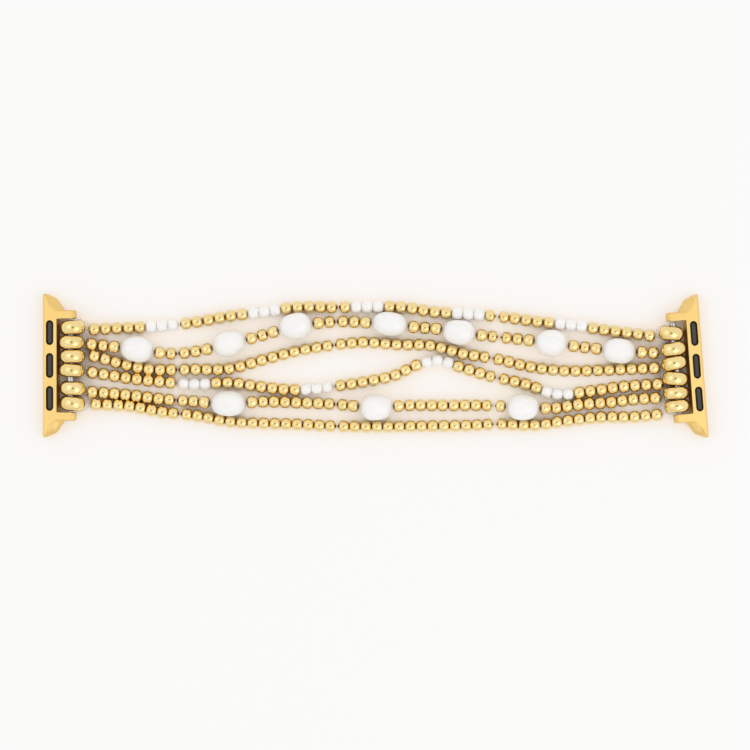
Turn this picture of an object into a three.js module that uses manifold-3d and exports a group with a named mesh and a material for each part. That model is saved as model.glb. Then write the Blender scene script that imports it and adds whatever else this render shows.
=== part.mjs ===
// Stretch strap for a smart watch: six strands of beads between two metal lug adapters, laid out flat.
// Millimetres, +Z up. The strap lies on the plane z = 0 with its length along X.
// Each strand is a loop of clear elastic through its beads and the bore of one saucer bead at each end.
// The saucers hang on a spring bar held between the ears of the lug, so each lug swings about its bar.
import * as THREE from 'three';
import { mergeVertices } from 'three/addons/utils/BufferGeometryUtils.js';
import Module from 'manifold-3d';

const wasm = await Module();
wasm.setup();

// Driving dimensions of the beads and the elastic
const goldBeadLength = 2.5;
const goldBeadDiameter = 2.7;
const smallPearlDiameter = 2.42;
const largePearlLength = 7;
const elasticDiameter = 0.4;
const pearlSeatGap = 0.3;
const flexGap = 0.42;

// Spring bar: a tube with a sprung tip at each end
const barDiameter = 1.5;
const barEndGap = 0.3;
const barWallThickness = 0.25;
const tipDiameter = 0.7;
const tipSeatDepth = 0.9;
const tipPlugClearance = 0.1;
const tipPlugLength = 1.9;
const tipTravelLength = tipSeatDepth;
const barBoreDepth = tipPlugLength + tipTravelLength + tipPlugClearance;

// Lug adapter, measured along the bar (u), away from the bar towards the watch (v) and up (w)
const windowHalfLength = 10.4;
const earThickness = 1.9;
const earWallThickness = 0.7;
const tipLength = 3.7;
const railWidth = 3.25;
const lugTopHeight = 1.3;
const lugBottomDepth = 1.7;
const edgeRadius = 0.45;
const windowClearance = 0.43;

// Saucer beads. Their bores hold the bar and, beside it, one pass of the elastic
const saucerDiameter = 5.44;
const saucerThicknessShare = 0.24;
const saucerThickness = windowHalfLength * saucerThicknessShare;
const boreClearance = 0.3;
const saucerBore = barDiameter + elasticDiameter + 3 * boreClearance;
const barShift = saucerBore / 2 - boreClearance - barDiameter / 2;

// Sizes of the lug that follow from the bar and the saucers
const earOutside = windowHalfLength + earThickness;
const lugHalfLength = earOutside + tipLength;
const earRadius = barDiameter / 2 + earWallThickness;
const windowDepth = saucerDiameter / 2 - barShift + windowClearance;
const outerEdge = windowDepth + railWidth;
const earHoleClearance = 0.15;
const earHoleDiameter = tipDiameter + 2 * earHoleClearance;
const earHoleDepth = tipSeatDepth + barEndGap + earHoleClearance;

// Rubber insert with its three pads, in the middle of the rail
const padLength = 5.1;
const padPitch = 7.3;
const padWidth = 1.25;
const padCentre = windowDepth + railWidth / 2;
const padRecessDepth = 0.05;
const slotClearance = 0.18;
const pocketRoofHeight = 0.35;
const pocketLedgeWidth = 0.04;
const pocketHalfWidth = padWidth / 2 + slotClearance + pocketLedgeWidth;
const stripClearance = 0.2;

// Loop of elastic through a saucer
const legStaggerHeight = 0.3;
const legOffset = 0.28;
const legFaceGap = 0.1;
const legRunLength = 0.3;
const legInBore = saucerBore / 2 - boreClearance - elasticDiameter / 2;

// Places in the plan of the strap are shares of the bead length, because the beads set its length:
// where the strands end before the middle of each bar, as [x, y], and the lines across the strap
// where the beads open up when it bends round a wrist
const leftEndShares = [-25.25, -0.096];
const rightEndShares = [24.85, -0.3];
const barStandoff = saucerDiameter / 2 + barShift + goldBeadLength / 2 + legRunLength;
const leftBar = {
  x: leftEndShares[0] * goldBeadLength - barStandoff,
  y: leftEndShares[1] * goldBeadLength,
  turn: 90,
};
const rightBar = {
  x: rightEndShares[0] * goldBeadLength + barStandoff,
  y: rightEndShares[1] * goldBeadLength,
  turn: -85.6,
};
const flexLineShares = [-17.56, -3.52, 10.72];

// How the strands rise over the table next to a large pearl and next to a saucer
const pearlRiseLength = 3.5;
const saucerRiseHeight = 0.55;
const saucerRiseLength = 4;

// Overrun of a cutting tool past the face it cuts
const overrunLength = 0.6;

// Facets of the round forms
const beadSides = 5;
const saucerSides = 12;
const pearlSides = 10;
const pinSides = 8;
const padArcSteps = 3;
const legSides = 4;
const legSteps = 16;

// Shapes as shares: [share of half length, share of radius]
const beadShoulderShare = 0.42;
const neckShare = 0.24;
const pearlProfileShares = [[-1, 0.4], [-0.78, 0.76], [-0.34, 1], [0.34, 1], [0.78, 0.76], [1, 0.4]];
const saucerRimShares = [[1, 0.3], [0.87, 0.78], [0.64, 1]];
const boreChamferShare = 0.22;
// Leg of elastic over a saucer: [share of its radius, share of its half thickness]
const legShares = [[1.15, 0.5], [0.95, 0.78], [0.68, 0.97], [0.46, 0.97]];

// Outline of a lug from the ear to the tip: [share from ear side to tip, share of outer edge]
const lugSideShares = [[0, 0.24], [0.2, 0.33], [0.45, 0.43], [0.7, 0.545], [0.84, 0.73], [0.96, 0.89]];
const lugFaceShares = [[-0.06, 0.48], [-0.02, 0.55], [0.06, 0.61], [0.16, 0.67], [0.28, 0.73], [0.62, 0.84]];
// Levels of a lug from its underside to its flat face: height as a share of the bottom or top,
// how far the outline has moved to that of the flat face, edge rounding and reach of the ears
const lugLevelShares = [
  { height: -1, face: 0.4, edge: 0.7, reach: 0.4 },
  { height: -0.6, face: 0, edge: 0, reach: 0.78 },
  { height: 0, face: 0, edge: 0, reach: 1 },
  { height: 0.5, face: 0.3, edge: 0.1, reach: 0.9 },
  { height: 1, face: 1, edge: 1, reach: 0.5 },
];

// Strands from the top of the strap to the bottom. In beads, G is a gold bead, p a small pearl and
// P a large freshwater pearl, with its [length, height] as shares of the usual length. The route runs
// through the bead centres, in bead lengths. left and right seat the end saucers: [share of the half
// window along the bar, tilt in degrees].
const strands = [
  {
    beads: 'GGGGGpppGGGGGGpppGGGGGGpppGGGGGGpppGGGGGGpppGGGGGG',
    pearlShares: [],
    routeShares: [
      [-25.00, 3.12], [-22.00, 3.24], [-18.92, 3.40], [-15.92, 3.76], [-13.00, 4.28], [-10.04, 4.64],
      [-6.96, 5.08], [-3.88, 5.08], [-0.84, 5.13], [2.40, 5.07], [5.36, 4.64], [8.24, 4.48],
      [11.36, 4.20], [14.36, 3.80], [17.28, 3.52], [20.40, 3.04], [24.36, 2.56],
    ],
    left: [0.812, 5],
    right: [-0.740, -4.6],
  },
  {
    beads: 'GGGPGGGGGPGGGPGGGGGPGGGPGGGGGPGGGPGG',
    pearlShares: [
      [1.000, 0.829], [1.000, 0.843], [1.000, 0.857], [1.071, 0.771], [1.000, 0.800],
      [0.971, 0.871], [1.000, 0.814],
    ],
    routeShares: [
      [-25.24, 1.80], [-23.20, 1.57], [-21.16, 1.34], [-18.12, 0.96], [-15.12, 1.32], [-13.12, 1.84],
      [-11.00, 2.32], [-9.04, 2.88], [-7.00, 3.40], [-4.88, 3.68], [-2.88, 3.80], [-0.88, 3.72],
      [1.24, 3.60], [3.44, 3.32], [5.40, 3.16], [7.48, 2.84], [9.60, 2.56], [13.44, 2.16],
      [15.56, 1.88], [19.52, 1.40], [21.56, 1.20], [24.68, 1.04],
    ],
    left: [0.495, 0],
    right: [-0.404, 10],
  },
  {
    beads: 'GGGGGGGGGGGGGGGGGGGGGGGGGGGGGGGGGGGGGGGGGGGGGGGGGGG',
    pearlShares: [],
    routeShares: [
      [-25.00, 0.72], [-22.04, -0.04], [-20.08, -0.41], [-16.04, -0.44], [-13.00, -0.36], [-10.04, 0.40],
      [-7.08, 1.16], [-4.16, 1.64], [-1.08, 1.96], [1.92, 1.76], [4.96, 1.68], [7.88, 0.96],
      [10.80, 0.48], [13.76, -0.20], [16.76, -0.56], [19.72, -0.52], [22.72, -0.40], [24.76, -0.32],
    ],
    left: [0.194, 0],
    right: [-0.101, 12],
  },
  {
    beads: 'GGGGGGGGpppGGGGGGGGpppGGGGGGGGpppGGGGGGGGpppGGGGGGGG',
    pearlShares: [],
    routeShares: [
      [-25.16, -0.72], [-22.16, -1.20], [-19.16, -1.54], [-16.12, -1.76], [-13.08, -1.64], [-10.08, -2.00],
      [-7.08, -2.24], [-4.16, -2.00], [-1.08, -1.56], [1.76, -0.96], [3.64, -0.08], [5.60, 0.32],
      [7.48, -0.24], [10.28, -1.08], [13.20, -1.72], [16.04, -2.60], [19.12, -2.36], [22.08, -1.96],
      [25.08, -1.76],
    ],
    left: [-0.104, -5],
    right: [0.231, -4.6],
  },
  {
    beads: 'GGGGGGGGGGGPGGGGGGGGGGPGGGGGGGGGGPGGGGGGGGGGG',
    pearlShares: [[1.057, 0.814], [0.986, 0.857], [0.986, 0.843]],
    routeShares: [
      [-25.16, -2.44], [-22.12, -2.69], [-19.16, -3.06], [-16.20, -3.28], [-13.12, -3.48], [-10.00, -3.32],
      [-7.08, -3.40], [-4.00, -3.52], [-0.04, -3.80], [2.96, -3.64], [5.92, -3.64], [9.96, -3.64],
      [13.00, -3.80], [15.96, -3.88], [17.92, -3.60], [20.88, -3.36], [22.88, -3.12], [24.88, -3.00],
    ],
    left: [-0.490, -3],
    right: [0.538, 3],
  },
  {
    beads: 'GGGGGGGGGGGGGGGGGGGGGGGGGGGGGGGGGGGGGGGGGGGGGGGGGGG',
    pearlShares: [],
    routeShares: [
      [-24.84, -3.58], [-21.88, -3.73], [-18.92, -4.25], [-15.92, -4.56], [-13.00, -5.08], [-10.00, -5.24],
      [-6.92, -5.32], [-3.96, -5.48], [-0.92, -5.52], [2.08, -5.52], [5.12, -5.48], [8.08, -5.44],
      [11.00, -5.32], [14.04, -5.40], [17.00, -5.04], [19.96, -4.72], [22.96, -4.68], [25.00, -4.48],
    ],
    left: [-0.812, -6],
    right: [0.817, 6],
  },
];

// Materials, with the colours of the photograph
const goldBeads = new THREE.MeshStandardMaterial({ color: 0xdcb061, roughness: 0.18, metalness: 1 });
const goldSatin = new THREE.MeshStandardMaterial({ color: 0xf2cd84, roughness: 0.42, metalness: 1 });
const pearl = new THREE.MeshStandardMaterial({ color: 0xf6f2ec, roughness: 0.25, metalness: 0 });
const rubber = new THREE.MeshStandardMaterial({ color: 0x4b4b50, roughness: 0.7, metalness: 0 });
const steel = new THREE.MeshStandardMaterial({ color: 0xc4c2be, roughness: 0.3, metalness: 1 });

const up = new THREE.Vector3(0, 0, 1);
const axisOfRevolution = new THREE.Vector3(0, 1, 0);
const sectionNames = ['end_left', 'mid_left', 'mid_right', 'end_right'];
const barHeight = saucerDiameter / 2;
const goldRadius = goldBeadDiameter / 2;
const coreRadius = goldBeadLength / 2 * neckShare;

function radians(degrees) {
  return degrees * Math.PI / 180;
}

function smooth(share) {
  const t = Math.min(Math.max(share, 0), 1);
  return t * t * (3 - 2 * t);
}

// Solids for joining and cutting
function toSolid(geometry) {
  const plain = geometry.clone();
  plain.deleteAttribute('normal');
  plain.deleteAttribute('uv');
  const merged = mergeVertices(plain);
  return new wasm.Manifold(new wasm.Mesh({
    numProp: 3,
    vertProperties: new Float32Array(merged.attributes.position.array),
    triVerts: new Uint32Array(merged.index.array),
  }));
}

function toGeometry(solid) {
  const mesh = solid.getMesh();
  const geometry = new THREE.BufferGeometry();
  geometry.setAttribute('position', new THREE.BufferAttribute(new Float32Array(mesh.vertProperties), 3));
  geometry.setIndex(new THREE.BufferAttribute(new Uint32Array(mesh.triVerts), 1));
  geometry.computeVertexNormals();
  return geometry;
}

// Skin over a row of rings that all have the same number of points, closed by a flat cap at each end
function loft(rings) {
  const count = rings[0].length;
  const points = rings.flat();
  const faces = [];
  for (let ring = 0; ring < rings.length - 1; ring += 1) {
    for (let k = 0; k < count; k += 1) {
      const a = ring * count + k;
      const b = ring * count + (k + 1) % count;
      faces.push(a, b, a + count, b, b + count, a + count);
    }
  }
  const outline = (ring) => {
    const origin = ring[0];
    const normal = new THREE.Vector3();
    ring.forEach((point, k) => {
      const a = point.clone().sub(origin);
      const b = ring[(k + 1) % count].clone().sub(origin);
      normal.add(a.cross(b));
    });
    normal.normalize();
    const across = new THREE.Vector3(1, 0, 0);
    if (Math.abs(normal.x) > Math.SQRT1_2) across.set(0, 1, 0);
    const e = across.cross(normal).normalize();
    const f = normal.clone().cross(e);
    return ring.map((point) => new THREE.Vector2(point.dot(e), point.dot(f)));
  };
  const first = THREE.ShapeUtils.triangulateShape(outline(rings[0]), []);
  const last = THREE.ShapeUtils.triangulateShape(outline(rings.at(-1)), []);
  const base = (rings.length - 1) * count;
  first.forEach(([a, b, c]) => faces.push(a, c, b));
  last.forEach(([a, b, c]) => faces.push(base + a, base + b, base + c));
  const geometry = new THREE.BufferGeometry();
  const flat = points.flatMap((point) => [point.x, point.y, point.z]);
  geometry.setAttribute('position', new THREE.Float32BufferAttribute(flat, 3));
  geometry.setIndex(faces);
  geometry.computeVertexNormals();
  return geometry;
}

// A strand laid along its route: where each bead sits, and the path of the elastic in space
function layStrand(strand) {
  const points = strand.routeShares
    .map(([x, y]) => new THREE.Vector3(x, y, 0).multiplyScalar(goldBeadLength));
  const curve = new THREE.CatmullRomCurve3(points, false, 'centripetal');
  const length = curve.getLength();
  let pearlNumber = 0;
  const items = [...strand.beads].map((kind) => {
    if (kind === 'P') {
      const [long, high] = strand.pearlShares[pearlNumber].map((share) => share * largePearlLength);
      pearlNumber += 1;
      return { kind, half: long / 2, radius: high / 2, number: pearlNumber };
    }
    if (kind === 'G') return { kind, half: goldBeadLength / 2, radius: goldBeadDiameter / 2 };
    return { kind, half: smallPearlDiameter / 2, radius: smallPearlDiameter / 2 };
  });
  const contacts = items.slice(1).map((item, k) => (item.kind === 'P' || items[k].kind === 'P'));
  const seated = contacts.filter((nearPearl) => nearPearl).length;
  const total = items.reduce((sum, item) => sum + 2 * item.half, 0) - items[0].half - items.at(-1).half;
  const spare = length - total - seated * pearlSeatGap;

  // The spare length is shared by the contacts between small beads, with a wider gap at each flex line
  const place = (cuts) => {
    const slack = (spare - cuts.length * flexGap) / (contacts.length - seated - cuts.length);
    let along = 0;
    items.forEach((item, k) => {
      if (k > 0) {
        const gap = contacts[k - 1] ? pearlSeatGap : (cuts.includes(k) ? flexGap : slack);
        along += items[k - 1].half + gap + item.half;
      }
      item.along = along;
    });
  };
  place([]);
  const cuts = flexLineShares.map((share) => {
    const line = share * goldBeadLength;
    let best = 0;
    let nearest = Infinity;
    contacts.forEach((nearPearl, k) => {
      const middle = curve.getPointAt((items[k].along + items[k + 1].along) / 2 / length);
      if (!nearPearl && Math.abs(middle.x - line) < nearest) {
        nearest = Math.abs(middle.x - line);
        best = k + 1;
      }
    });
    return best;
  });
  place(cuts);

  const height = (along) => {
    let rise = saucerRiseHeight * (1 - smooth(Math.min(along, length - along) / saucerRiseLength));
    items.filter((item) => item.kind === 'P').forEach((item) => {
      const away = Math.abs(along - item.along) - item.half;
      rise = Math.max(rise, (item.radius - goldRadius) * (1 - smooth(away / pearlRiseLength)));
    });
    return goldRadius + rise;
  };
  const at = (along) => {
    const inside = Math.min(Math.max(along, 0), length);
    const point = curve.getPointAt(inside / length);
    point.addScaledVector(curve.getTangentAt(inside / length), along - inside);
    point.z = height(inside);
    return point;
  };
  const direction = (along) => {
    const probe = goldRadius * beadShoulderShare;
    return at(along + probe).sub(at(along - probe)).normalize();
  };
  return { items, cuts, at, direction };
}

function ringAt(laid, along, radius) {
  const centre = laid.at(along);
  const forward = laid.direction(along);
  const side = up.clone().cross(forward).normalize();
  const above = forward.clone().cross(side);
  return Array.from({ length: beadSides }, (_, k) => {
    const angle = 2 * Math.PI * k / beadSides - Math.PI / 2;
    return centre.clone()
      .addScaledVector(side, radius * Math.cos(angle))
      .addScaledVector(above, radius * Math.sin(angle));
  });
}

// One stretch of a strand between two flex lines: small beads on their elastic, which also runs
// through the bores of the large pearls
function strandSection(laid, from, to) {
  const stretch = laid.items.slice(from, to);
  const rings = [];
  stretch.forEach((item, k) => {
    if (item.kind === 'P') return;
    const before = stretch[k - 1];
    const start = item.along - item.half;
    if (!before || before.kind === 'P') {
      rings.push(ringAt(laid, start, coreRadius));
    } else {
      rings.push(ringAt(laid, (before.along + before.half + start) / 2, coreRadius));
    }
    rings.push(ringAt(laid, item.along - item.half * beadShoulderShare, item.radius));
    rings.push(ringAt(laid, item.along + item.half * beadShoulderShare, item.radius));
    const after = stretch[k + 1];
    if (!after || after.kind === 'P') rings.push(ringAt(laid, item.along + item.half, coreRadius));
  });
  return loft(rings);
}

// Where a saucer sits on its bar, and which way its bore points
function seatSaucer(bar, [share, tilt], name) {
  const turn = radians(bar.turn);
  const inward = new THREE.Vector3(Math.sin(turn), -Math.cos(turn), 0);
  const centre = new THREE.Vector3(bar.x, bar.y, barHeight)
    .addScaledVector(new THREE.Vector3(Math.cos(turn), Math.sin(turn), 0), share * windowHalfLength)
    .addScaledVector(inward, barShift);
  return { centre, tilt: radians(tilt), facing: Math.sign(inward.x), name };
}

// Clear elastic from inside the end bead, round through the bore of the saucer and back
function elasticLoop(seat, laid, atStart) {
  const item = atStart ? laid.items[0] : laid.items.at(-1);
  const outward = atStart ? -1 : 1;
  const face = saucerThickness / 2;
  const local = (x, y, z) => new THREE.Vector3(x * seat.facing, y, z)
    .applyAxisAngle(up, seat.tilt)
    .add(seat.centre);
  const bead = (share, spread) => {
    const along = item.along + outward * item.half * share;
    const side = laid.direction(along).cross(up).normalize();
    if (side.y < 0) side.negate();
    return laid.at(along).addScaledVector(side, spread);
  };
  const legRadius = elasticDiameter / 2;
  const rim = saucerDiameter / 2;
  const leg = (sign) => [
    bead(0, sign * legOffset),
    bead(1, sign * legOffset),
    ...legShares.map(([out, along]) => local(
      rim * out,
      sign * (face * along + legRadius + legFaceGap * along),
      sign * legStaggerHeight,
    )),
    local(legInBore, sign * face * beadShoulderShare, sign * legStaggerHeight * beadShoulderShare),
  ];
  const route = [...leg(1), local(legInBore, 0, 0), ...leg(-1).reverse()];
  const path = new THREE.CatmullRomCurve3(route, false, 'centripetal');
  const section = new THREE.Shape(Array.from({ length: legSides }, (_, k) => {
    const angle = 2 * Math.PI * k / legSides;
    return new THREE.Vector2(legRadius * Math.cos(angle), legRadius * Math.sin(angle));
  }));
  return new THREE.ExtrudeGeometry(section, { steps: legSteps, extrudePath: path, bevelEnabled: false });
}

// Saucer bead: a rounded disc with a chamfered bore
function saucerGeometry() {
  const bore = saucerBore / 2;
  const rim = saucerDiameter / 2;
  const face = saucerThickness / 2;
  const chamfer = face * boreChamferShare;
  const upper = saucerRimShares.map(([r, y]) => [rim * r, face * y]);
  const half = [...upper, [bore + chamfer, face], [bore, face - chamfer]];
  const whole = [...half.map(([r, y]) => [r, -y]).reverse(), ...half];
  const profile = [...whole, whole[0]].map(([r, y]) => new THREE.Vector2(r, y));
  return new THREE.LatheGeometry(profile, saucerSides);
}

// Large pearl, bored along its length for the elastic
function largePearlGeometry(item) {
  const bore = coreRadius + pearlSeatGap;
  const skin = pearlProfileShares.map(([y, r]) => new THREE.Vector2(item.radius * r, item.half * y));
  const mouth = [new THREE.Vector2(bore, -item.half), ...skin, new THREE.Vector2(bore, item.half)];
  return new THREE.LatheGeometry([...mouth, mouth[0]], pearlSides);
}

// Lug adapter
function lugOutline(level) {
  const reach = -earRadius * level.reach;
  const height = level.height * (level.height < 0 ? lugBottomDepth : lugTopHeight);
  const tip = lugHalfLength - earOutside;
  const side = lugSideShares.map(([u, v], k) => {
    const [faceU, faceV] = lugFaceShares[k];
    const shareU = u + (faceU - u) * level.face;
    const shareV = v + (faceV - v) * level.face;
    return [earOutside + tip * shareU, outerEdge * shareV];
  });
  const edge = outerEdge - edgeRadius * level.edge;
  const corner = [lugHalfLength - edgeRadius * level.edge, edge];
  const earSide = side[0][0];
  const ear = [[windowHalfLength, windowDepth], [windowHalfLength, reach], [earSide, reach]];
  const half = [...ear, ...side, corner];
  const other = half.map(([u, v]) => [-u, v]).reverse();
  return [...half, ...other].map(([u, v]) => new THREE.Vector3(u, v, height));
}

function stadium(halfLength, halfWidth, low, high) {
  const shape = new THREE.Shape();
  const reach = halfLength - halfWidth;
  shape.absarc(reach, 0, halfWidth, -Math.PI / 2, Math.PI / 2, false);
  shape.absarc(-reach, 0, halfWidth, Math.PI / 2, 3 * Math.PI / 2, false);
  const depth = high - low;
  const solid = new THREE.ExtrudeGeometry(shape, { depth, bevelEnabled: false, curveSegments: padArcSteps });
  return solid.translate(0, padCentre, low);
}

function barShaped(profile) {
  const geometry = new THREE.LatheGeometry(profile.map(([r, y]) => new THREE.Vector2(r, y)), pinSides);
  return geometry.rotateZ(-Math.PI / 2);
}

function lugGeometry() {
  let lug = toSolid(loft(lugLevelShares.map(lugOutline)));
  const pocketHalfLength = padPitch + padLength / 2 + stripClearance + slotClearance;
  const pocketFloor = -lugBottomDepth - overrunLength;
  const pocket = stadium(pocketHalfLength, pocketHalfWidth, pocketFloor, pocketRoofHeight);
  lug = lug.subtract(toSolid(pocket));
  for (const side of [-1, 0, 1]) {
    const slot = stadium(
      padLength / 2 + slotClearance,
      padWidth / 2 + slotClearance,
      pocketRoofHeight - overrunLength,
      lugTopHeight + overrunLength,
    );
    lug = lug.subtract(toSolid(slot.translate(side * padPitch, 0, 0)));
  }
  for (const side of [-1, 1]) {
    const inner = windowHalfLength - overrunLength;
    const outer = windowHalfLength + earHoleDepth;
    const radius = earHoleDiameter / 2;
    const hole = barShaped([[0, inner], [radius, inner], [radius, outer], [0, outer]]);
    if (side < 0) hole.rotateZ(Math.PI);
    lug = lug.subtract(toSolid(hole));
  }
  return toGeometry(lug);
}

function insertGeometry() {
  const stripHalfLength = padPitch + padLength / 2 + slotClearance;
  const top = pocketRoofHeight - stripClearance;
  let insert = toSolid(stadium(
    stripHalfLength,
    pocketHalfWidth - stripClearance,
    -lugBottomDepth + stripClearance,
    top,
  ));
  for (const side of [-1, 0, 1]) {
    const pad = stadium(padLength / 2, padWidth / 2, top - stripClearance, lugTopHeight - padRecessDepth);
    insert = insert.add(toSolid(pad.translate(side * padPitch, 0, 0)));
  }
  return toGeometry(insert);
}

const barHalfLength = windowHalfLength - barEndGap;

function barGeometry() {
  const radius = barDiameter / 2;
  const bore = radius - barWallThickness;
  const floor = barHalfLength - barBoreDepth;
  return barShaped([
    [0, -floor], [bore, -floor], [bore, -barHalfLength], [radius, -barHalfLength],
    [radius, barHalfLength], [bore, barHalfLength], [bore, floor], [0, floor],
  ]);
}

function tipGeometry(side) {
  const plug = barDiameter / 2 - barWallThickness - tipPlugClearance;
  const stem = tipDiameter / 2;
  const inner = barHalfLength - tipPlugLength;
  const shoulder = barHalfLength - barEndGap;
  const outer = barHalfLength + barEndGap + tipSeatDepth;
  const tip = barShaped([
    [0, inner], [plug, inner], [plug, shoulder], [stem, shoulder], [stem, outer], [0, outer],
  ]);
  if (side < 0) tip.rotateZ(Math.PI);
  return tip;
}

// Lug with its insert, bar and tips, swung down about the bar until its outer edge meets the table
function lugAssembly(bar, name) {
  const footEdge = outerEdge - edgeRadius * lugLevelShares[0].edge;
  const footRadius = Math.hypot(footEdge, lugBottomDepth);
  const rest = Math.asin(barHeight / footRadius) - Math.atan(lugBottomDepth / footEdge);
  const swing = new THREE.Group();
  swing.rotation.x = -rest;
  swing.add(named(`lug_${name}`, lugGeometry(), goldSatin));
  swing.add(named(`insert_${name}`, insertGeometry(), rubber));
  swing.add(named(`bar_${name}`, barGeometry(), steel));
  swing.add(named(`tip_${name}_upper`, tipGeometry(Math.sign(bar.turn)), steel));
  swing.add(named(`tip_${name}_lower`, tipGeometry(-Math.sign(bar.turn)), steel));
  const lug = new THREE.Group();
  lug.position.set(bar.x, bar.y, barHeight);
  lug.rotation.z = radians(bar.turn);
  lug.add(swing);
  return lug;
}

function named(name, geometry, material) {
  const mesh = new THREE.Mesh(geometry, material);
  mesh.name = name;
  return mesh;
}

function saucerMesh(seat) {
  const mesh = named(seat.name, saucerGeometry(), goldBeads);
  mesh.position.copy(seat.centre);
  mesh.rotation.z = seat.tilt;
  return mesh;
}

function strandAssembly(strand, index) {
  const group = new THREE.Group();
  const number = index + 1;
  const laid = layStrand(strand);
  const seats = [
    seatSaucer(leftBar, strand.left, `saucer_left_${number}`),
    seatSaucer(rightBar, strand.right, `saucer_right_${number}`),
  ];
  seats.forEach((seat) => group.add(saucerMesh(seat)));
  const bounds = [0, ...laid.cuts, laid.items.length];
  sectionNames.forEach((section, k) => {
    let geometry = strandSection(laid, bounds[k], bounds[k + 1]);
    if (k === 0 || k === sectionNames.length - 1) {
      const atStart = k === 0;
      const loop = elasticLoop(seats[atStart ? 0 : 1], laid, atStart);
      geometry = toGeometry(toSolid(geometry).add(toSolid(loop)));
    }
    group.add(named(`strand_${number}_${section}`, geometry, goldBeads));
  });
  laid.items.filter((item) => item.kind === 'P').forEach((item) => {
    const mesh = named(`pearl_${number}_${item.number}`, largePearlGeometry(item), pearl);
    mesh.position.copy(laid.at(item.along));
    mesh.quaternion.setFromUnitVectors(axisOfRevolution, laid.direction(item.along));
    group.add(mesh);
  });
  return group;
}

const strap = new THREE.Group();
strap.add(lugAssembly(leftBar, 'left'));
strap.add(lugAssembly(rightBar, 'right'));
strands.forEach((strand, index) => strap.add(strandAssembly(strand, index)));

export default strap;
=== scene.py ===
"""Looks of a beaded stretch strap for a smart watch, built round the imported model.

Six strands of gold beads and pearls are threaded on clear elastic between two satin gold lug
adapters. All sizes here are millimetres; a mesh is turned into metres when its object is made.
"""
import logging
import math
import random
from collections.abc import Callable, Iterable, Sequence
from dataclasses import dataclass, field
from enum import Enum

import bmesh
import bpy
from bpy.types import Material, Mesh, Node, NodeTree, Object
from mathutils import Matrix, Vector


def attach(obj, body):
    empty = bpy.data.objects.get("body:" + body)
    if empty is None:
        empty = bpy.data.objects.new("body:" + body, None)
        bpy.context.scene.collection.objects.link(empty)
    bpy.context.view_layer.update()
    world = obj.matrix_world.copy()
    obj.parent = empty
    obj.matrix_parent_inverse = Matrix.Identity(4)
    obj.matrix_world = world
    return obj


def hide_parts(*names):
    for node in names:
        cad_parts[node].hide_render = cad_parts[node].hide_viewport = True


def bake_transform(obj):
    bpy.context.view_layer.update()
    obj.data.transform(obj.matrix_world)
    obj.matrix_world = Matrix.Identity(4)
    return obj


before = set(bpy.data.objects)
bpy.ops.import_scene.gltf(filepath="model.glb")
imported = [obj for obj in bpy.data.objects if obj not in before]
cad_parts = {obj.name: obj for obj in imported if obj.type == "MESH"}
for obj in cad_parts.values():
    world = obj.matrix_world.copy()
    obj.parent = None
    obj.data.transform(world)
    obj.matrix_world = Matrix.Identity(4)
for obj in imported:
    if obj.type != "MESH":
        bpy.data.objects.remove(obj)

MM = 0.001

# Beads, pearls and elastic, as in the solids
GOLD_LENGTH = 2.5
GOLD_RADIUS = 1.35
SMALL_PEARL_RADIUS = 1.21
LARGE_PEARL_LENGTH = 7.0
ELASTIC_RADIUS = 0.2
BEAD_BORE_RADIUS = 0.24
PEARL_SEAT_GAP = 0.3

# Where the strap flexes: X of each line and the gap between the beads there. The ends of these beads lean
# back by a slope, and start further back where the hinge lies off the middle of the gap
FLEX_LINES = (-43.9, -8.8, 26.8)
FLEX_GAP = 0.42
FLEX_TAPER = 0.5206
FLEX_SPARE = (0.04, 0.04, 0.18)

# How the elastic rises over the table next to large pearls and saucer beads
PEARL_RISE_LENGTH = 3.5
SAUCER_RISE = 0.55
SAUCER_RISE_LENGTH = 4

# Saucer beads of the solids, which the elastic follows, and their bar
SAUCER_RADIUS = 2.72
SAUCER_HALF_THICKNESS = 1.248
SAUCER_MAX_HALF_THICKNESS = 1.54
SAUCER_FACE_GAP = 0.06
BAR_HEIGHT = 2.72
BAR_SHIFT = 0.35
BAR_END_GAP = 0.3
WINDOW_HALF_LENGTH = 10.4

# How far a cutter runs past the face that it opens
CUT_OVERRUN = 0.6

# Loop of elastic through a saucer: its legs as shares of the saucer's radius and half thickness
LEG_SHARES = ((1.15, 0.5), (0.95, 0.78), (0.68, 0.97), (0.46, 0.97))
LEG_FACE_GAP = 0.1
LEG_STAGGER = 0.3
LEG_IN_BORE = 0.9
LEG_DEPTH_SHARE = 0.42
LEG_SPREAD_INSIDE, LEG_SPREAD = 0.08, 0.1

# Elastic across a flex line: it reaches into the beads and is a little thinner than theirs. LINK_BEND gives
# a short length at its middle, which is worked out but not used
LINK_HALF_LENGTH = 0.9
LINK_BEND = 0.3
LINK_RADIUS_SHARE = 0.98
LINK_STEPS = 12

# Points round a form and along it, with the step along the elastic in millimetres
BEAD_SEGMENTS, BEAD_STEPS = 26, 14
PEARL_SEGMENTS, PEARL_STEPS = 48, 26
ELASTIC_SIDES, ELASTIC_STEP = 8, 0.8
LOOP_SIDES, LOOP_STEPS = 10, 64

# Angle in degrees from which an edge is sharp, on elastic and pearls and on turned steel
SMOOTH_TO, TURNED_SHARP = 60, 30
# Swell of a bead's end face, and depth to which the mouth of its bore is shaped
FACE_BULGE = 0.006
MOUTH_DEPTH = 0.08
# Most nod and sway of a gold bead in degrees, and how much wider than its solid it is, as shares
GOLD_NOD = 3
GOLD_GROWTH = (0.01, 0.03)
# How far out of round a small pearl is, at most
SMALL_PEARL_LEAN = 0.03
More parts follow.
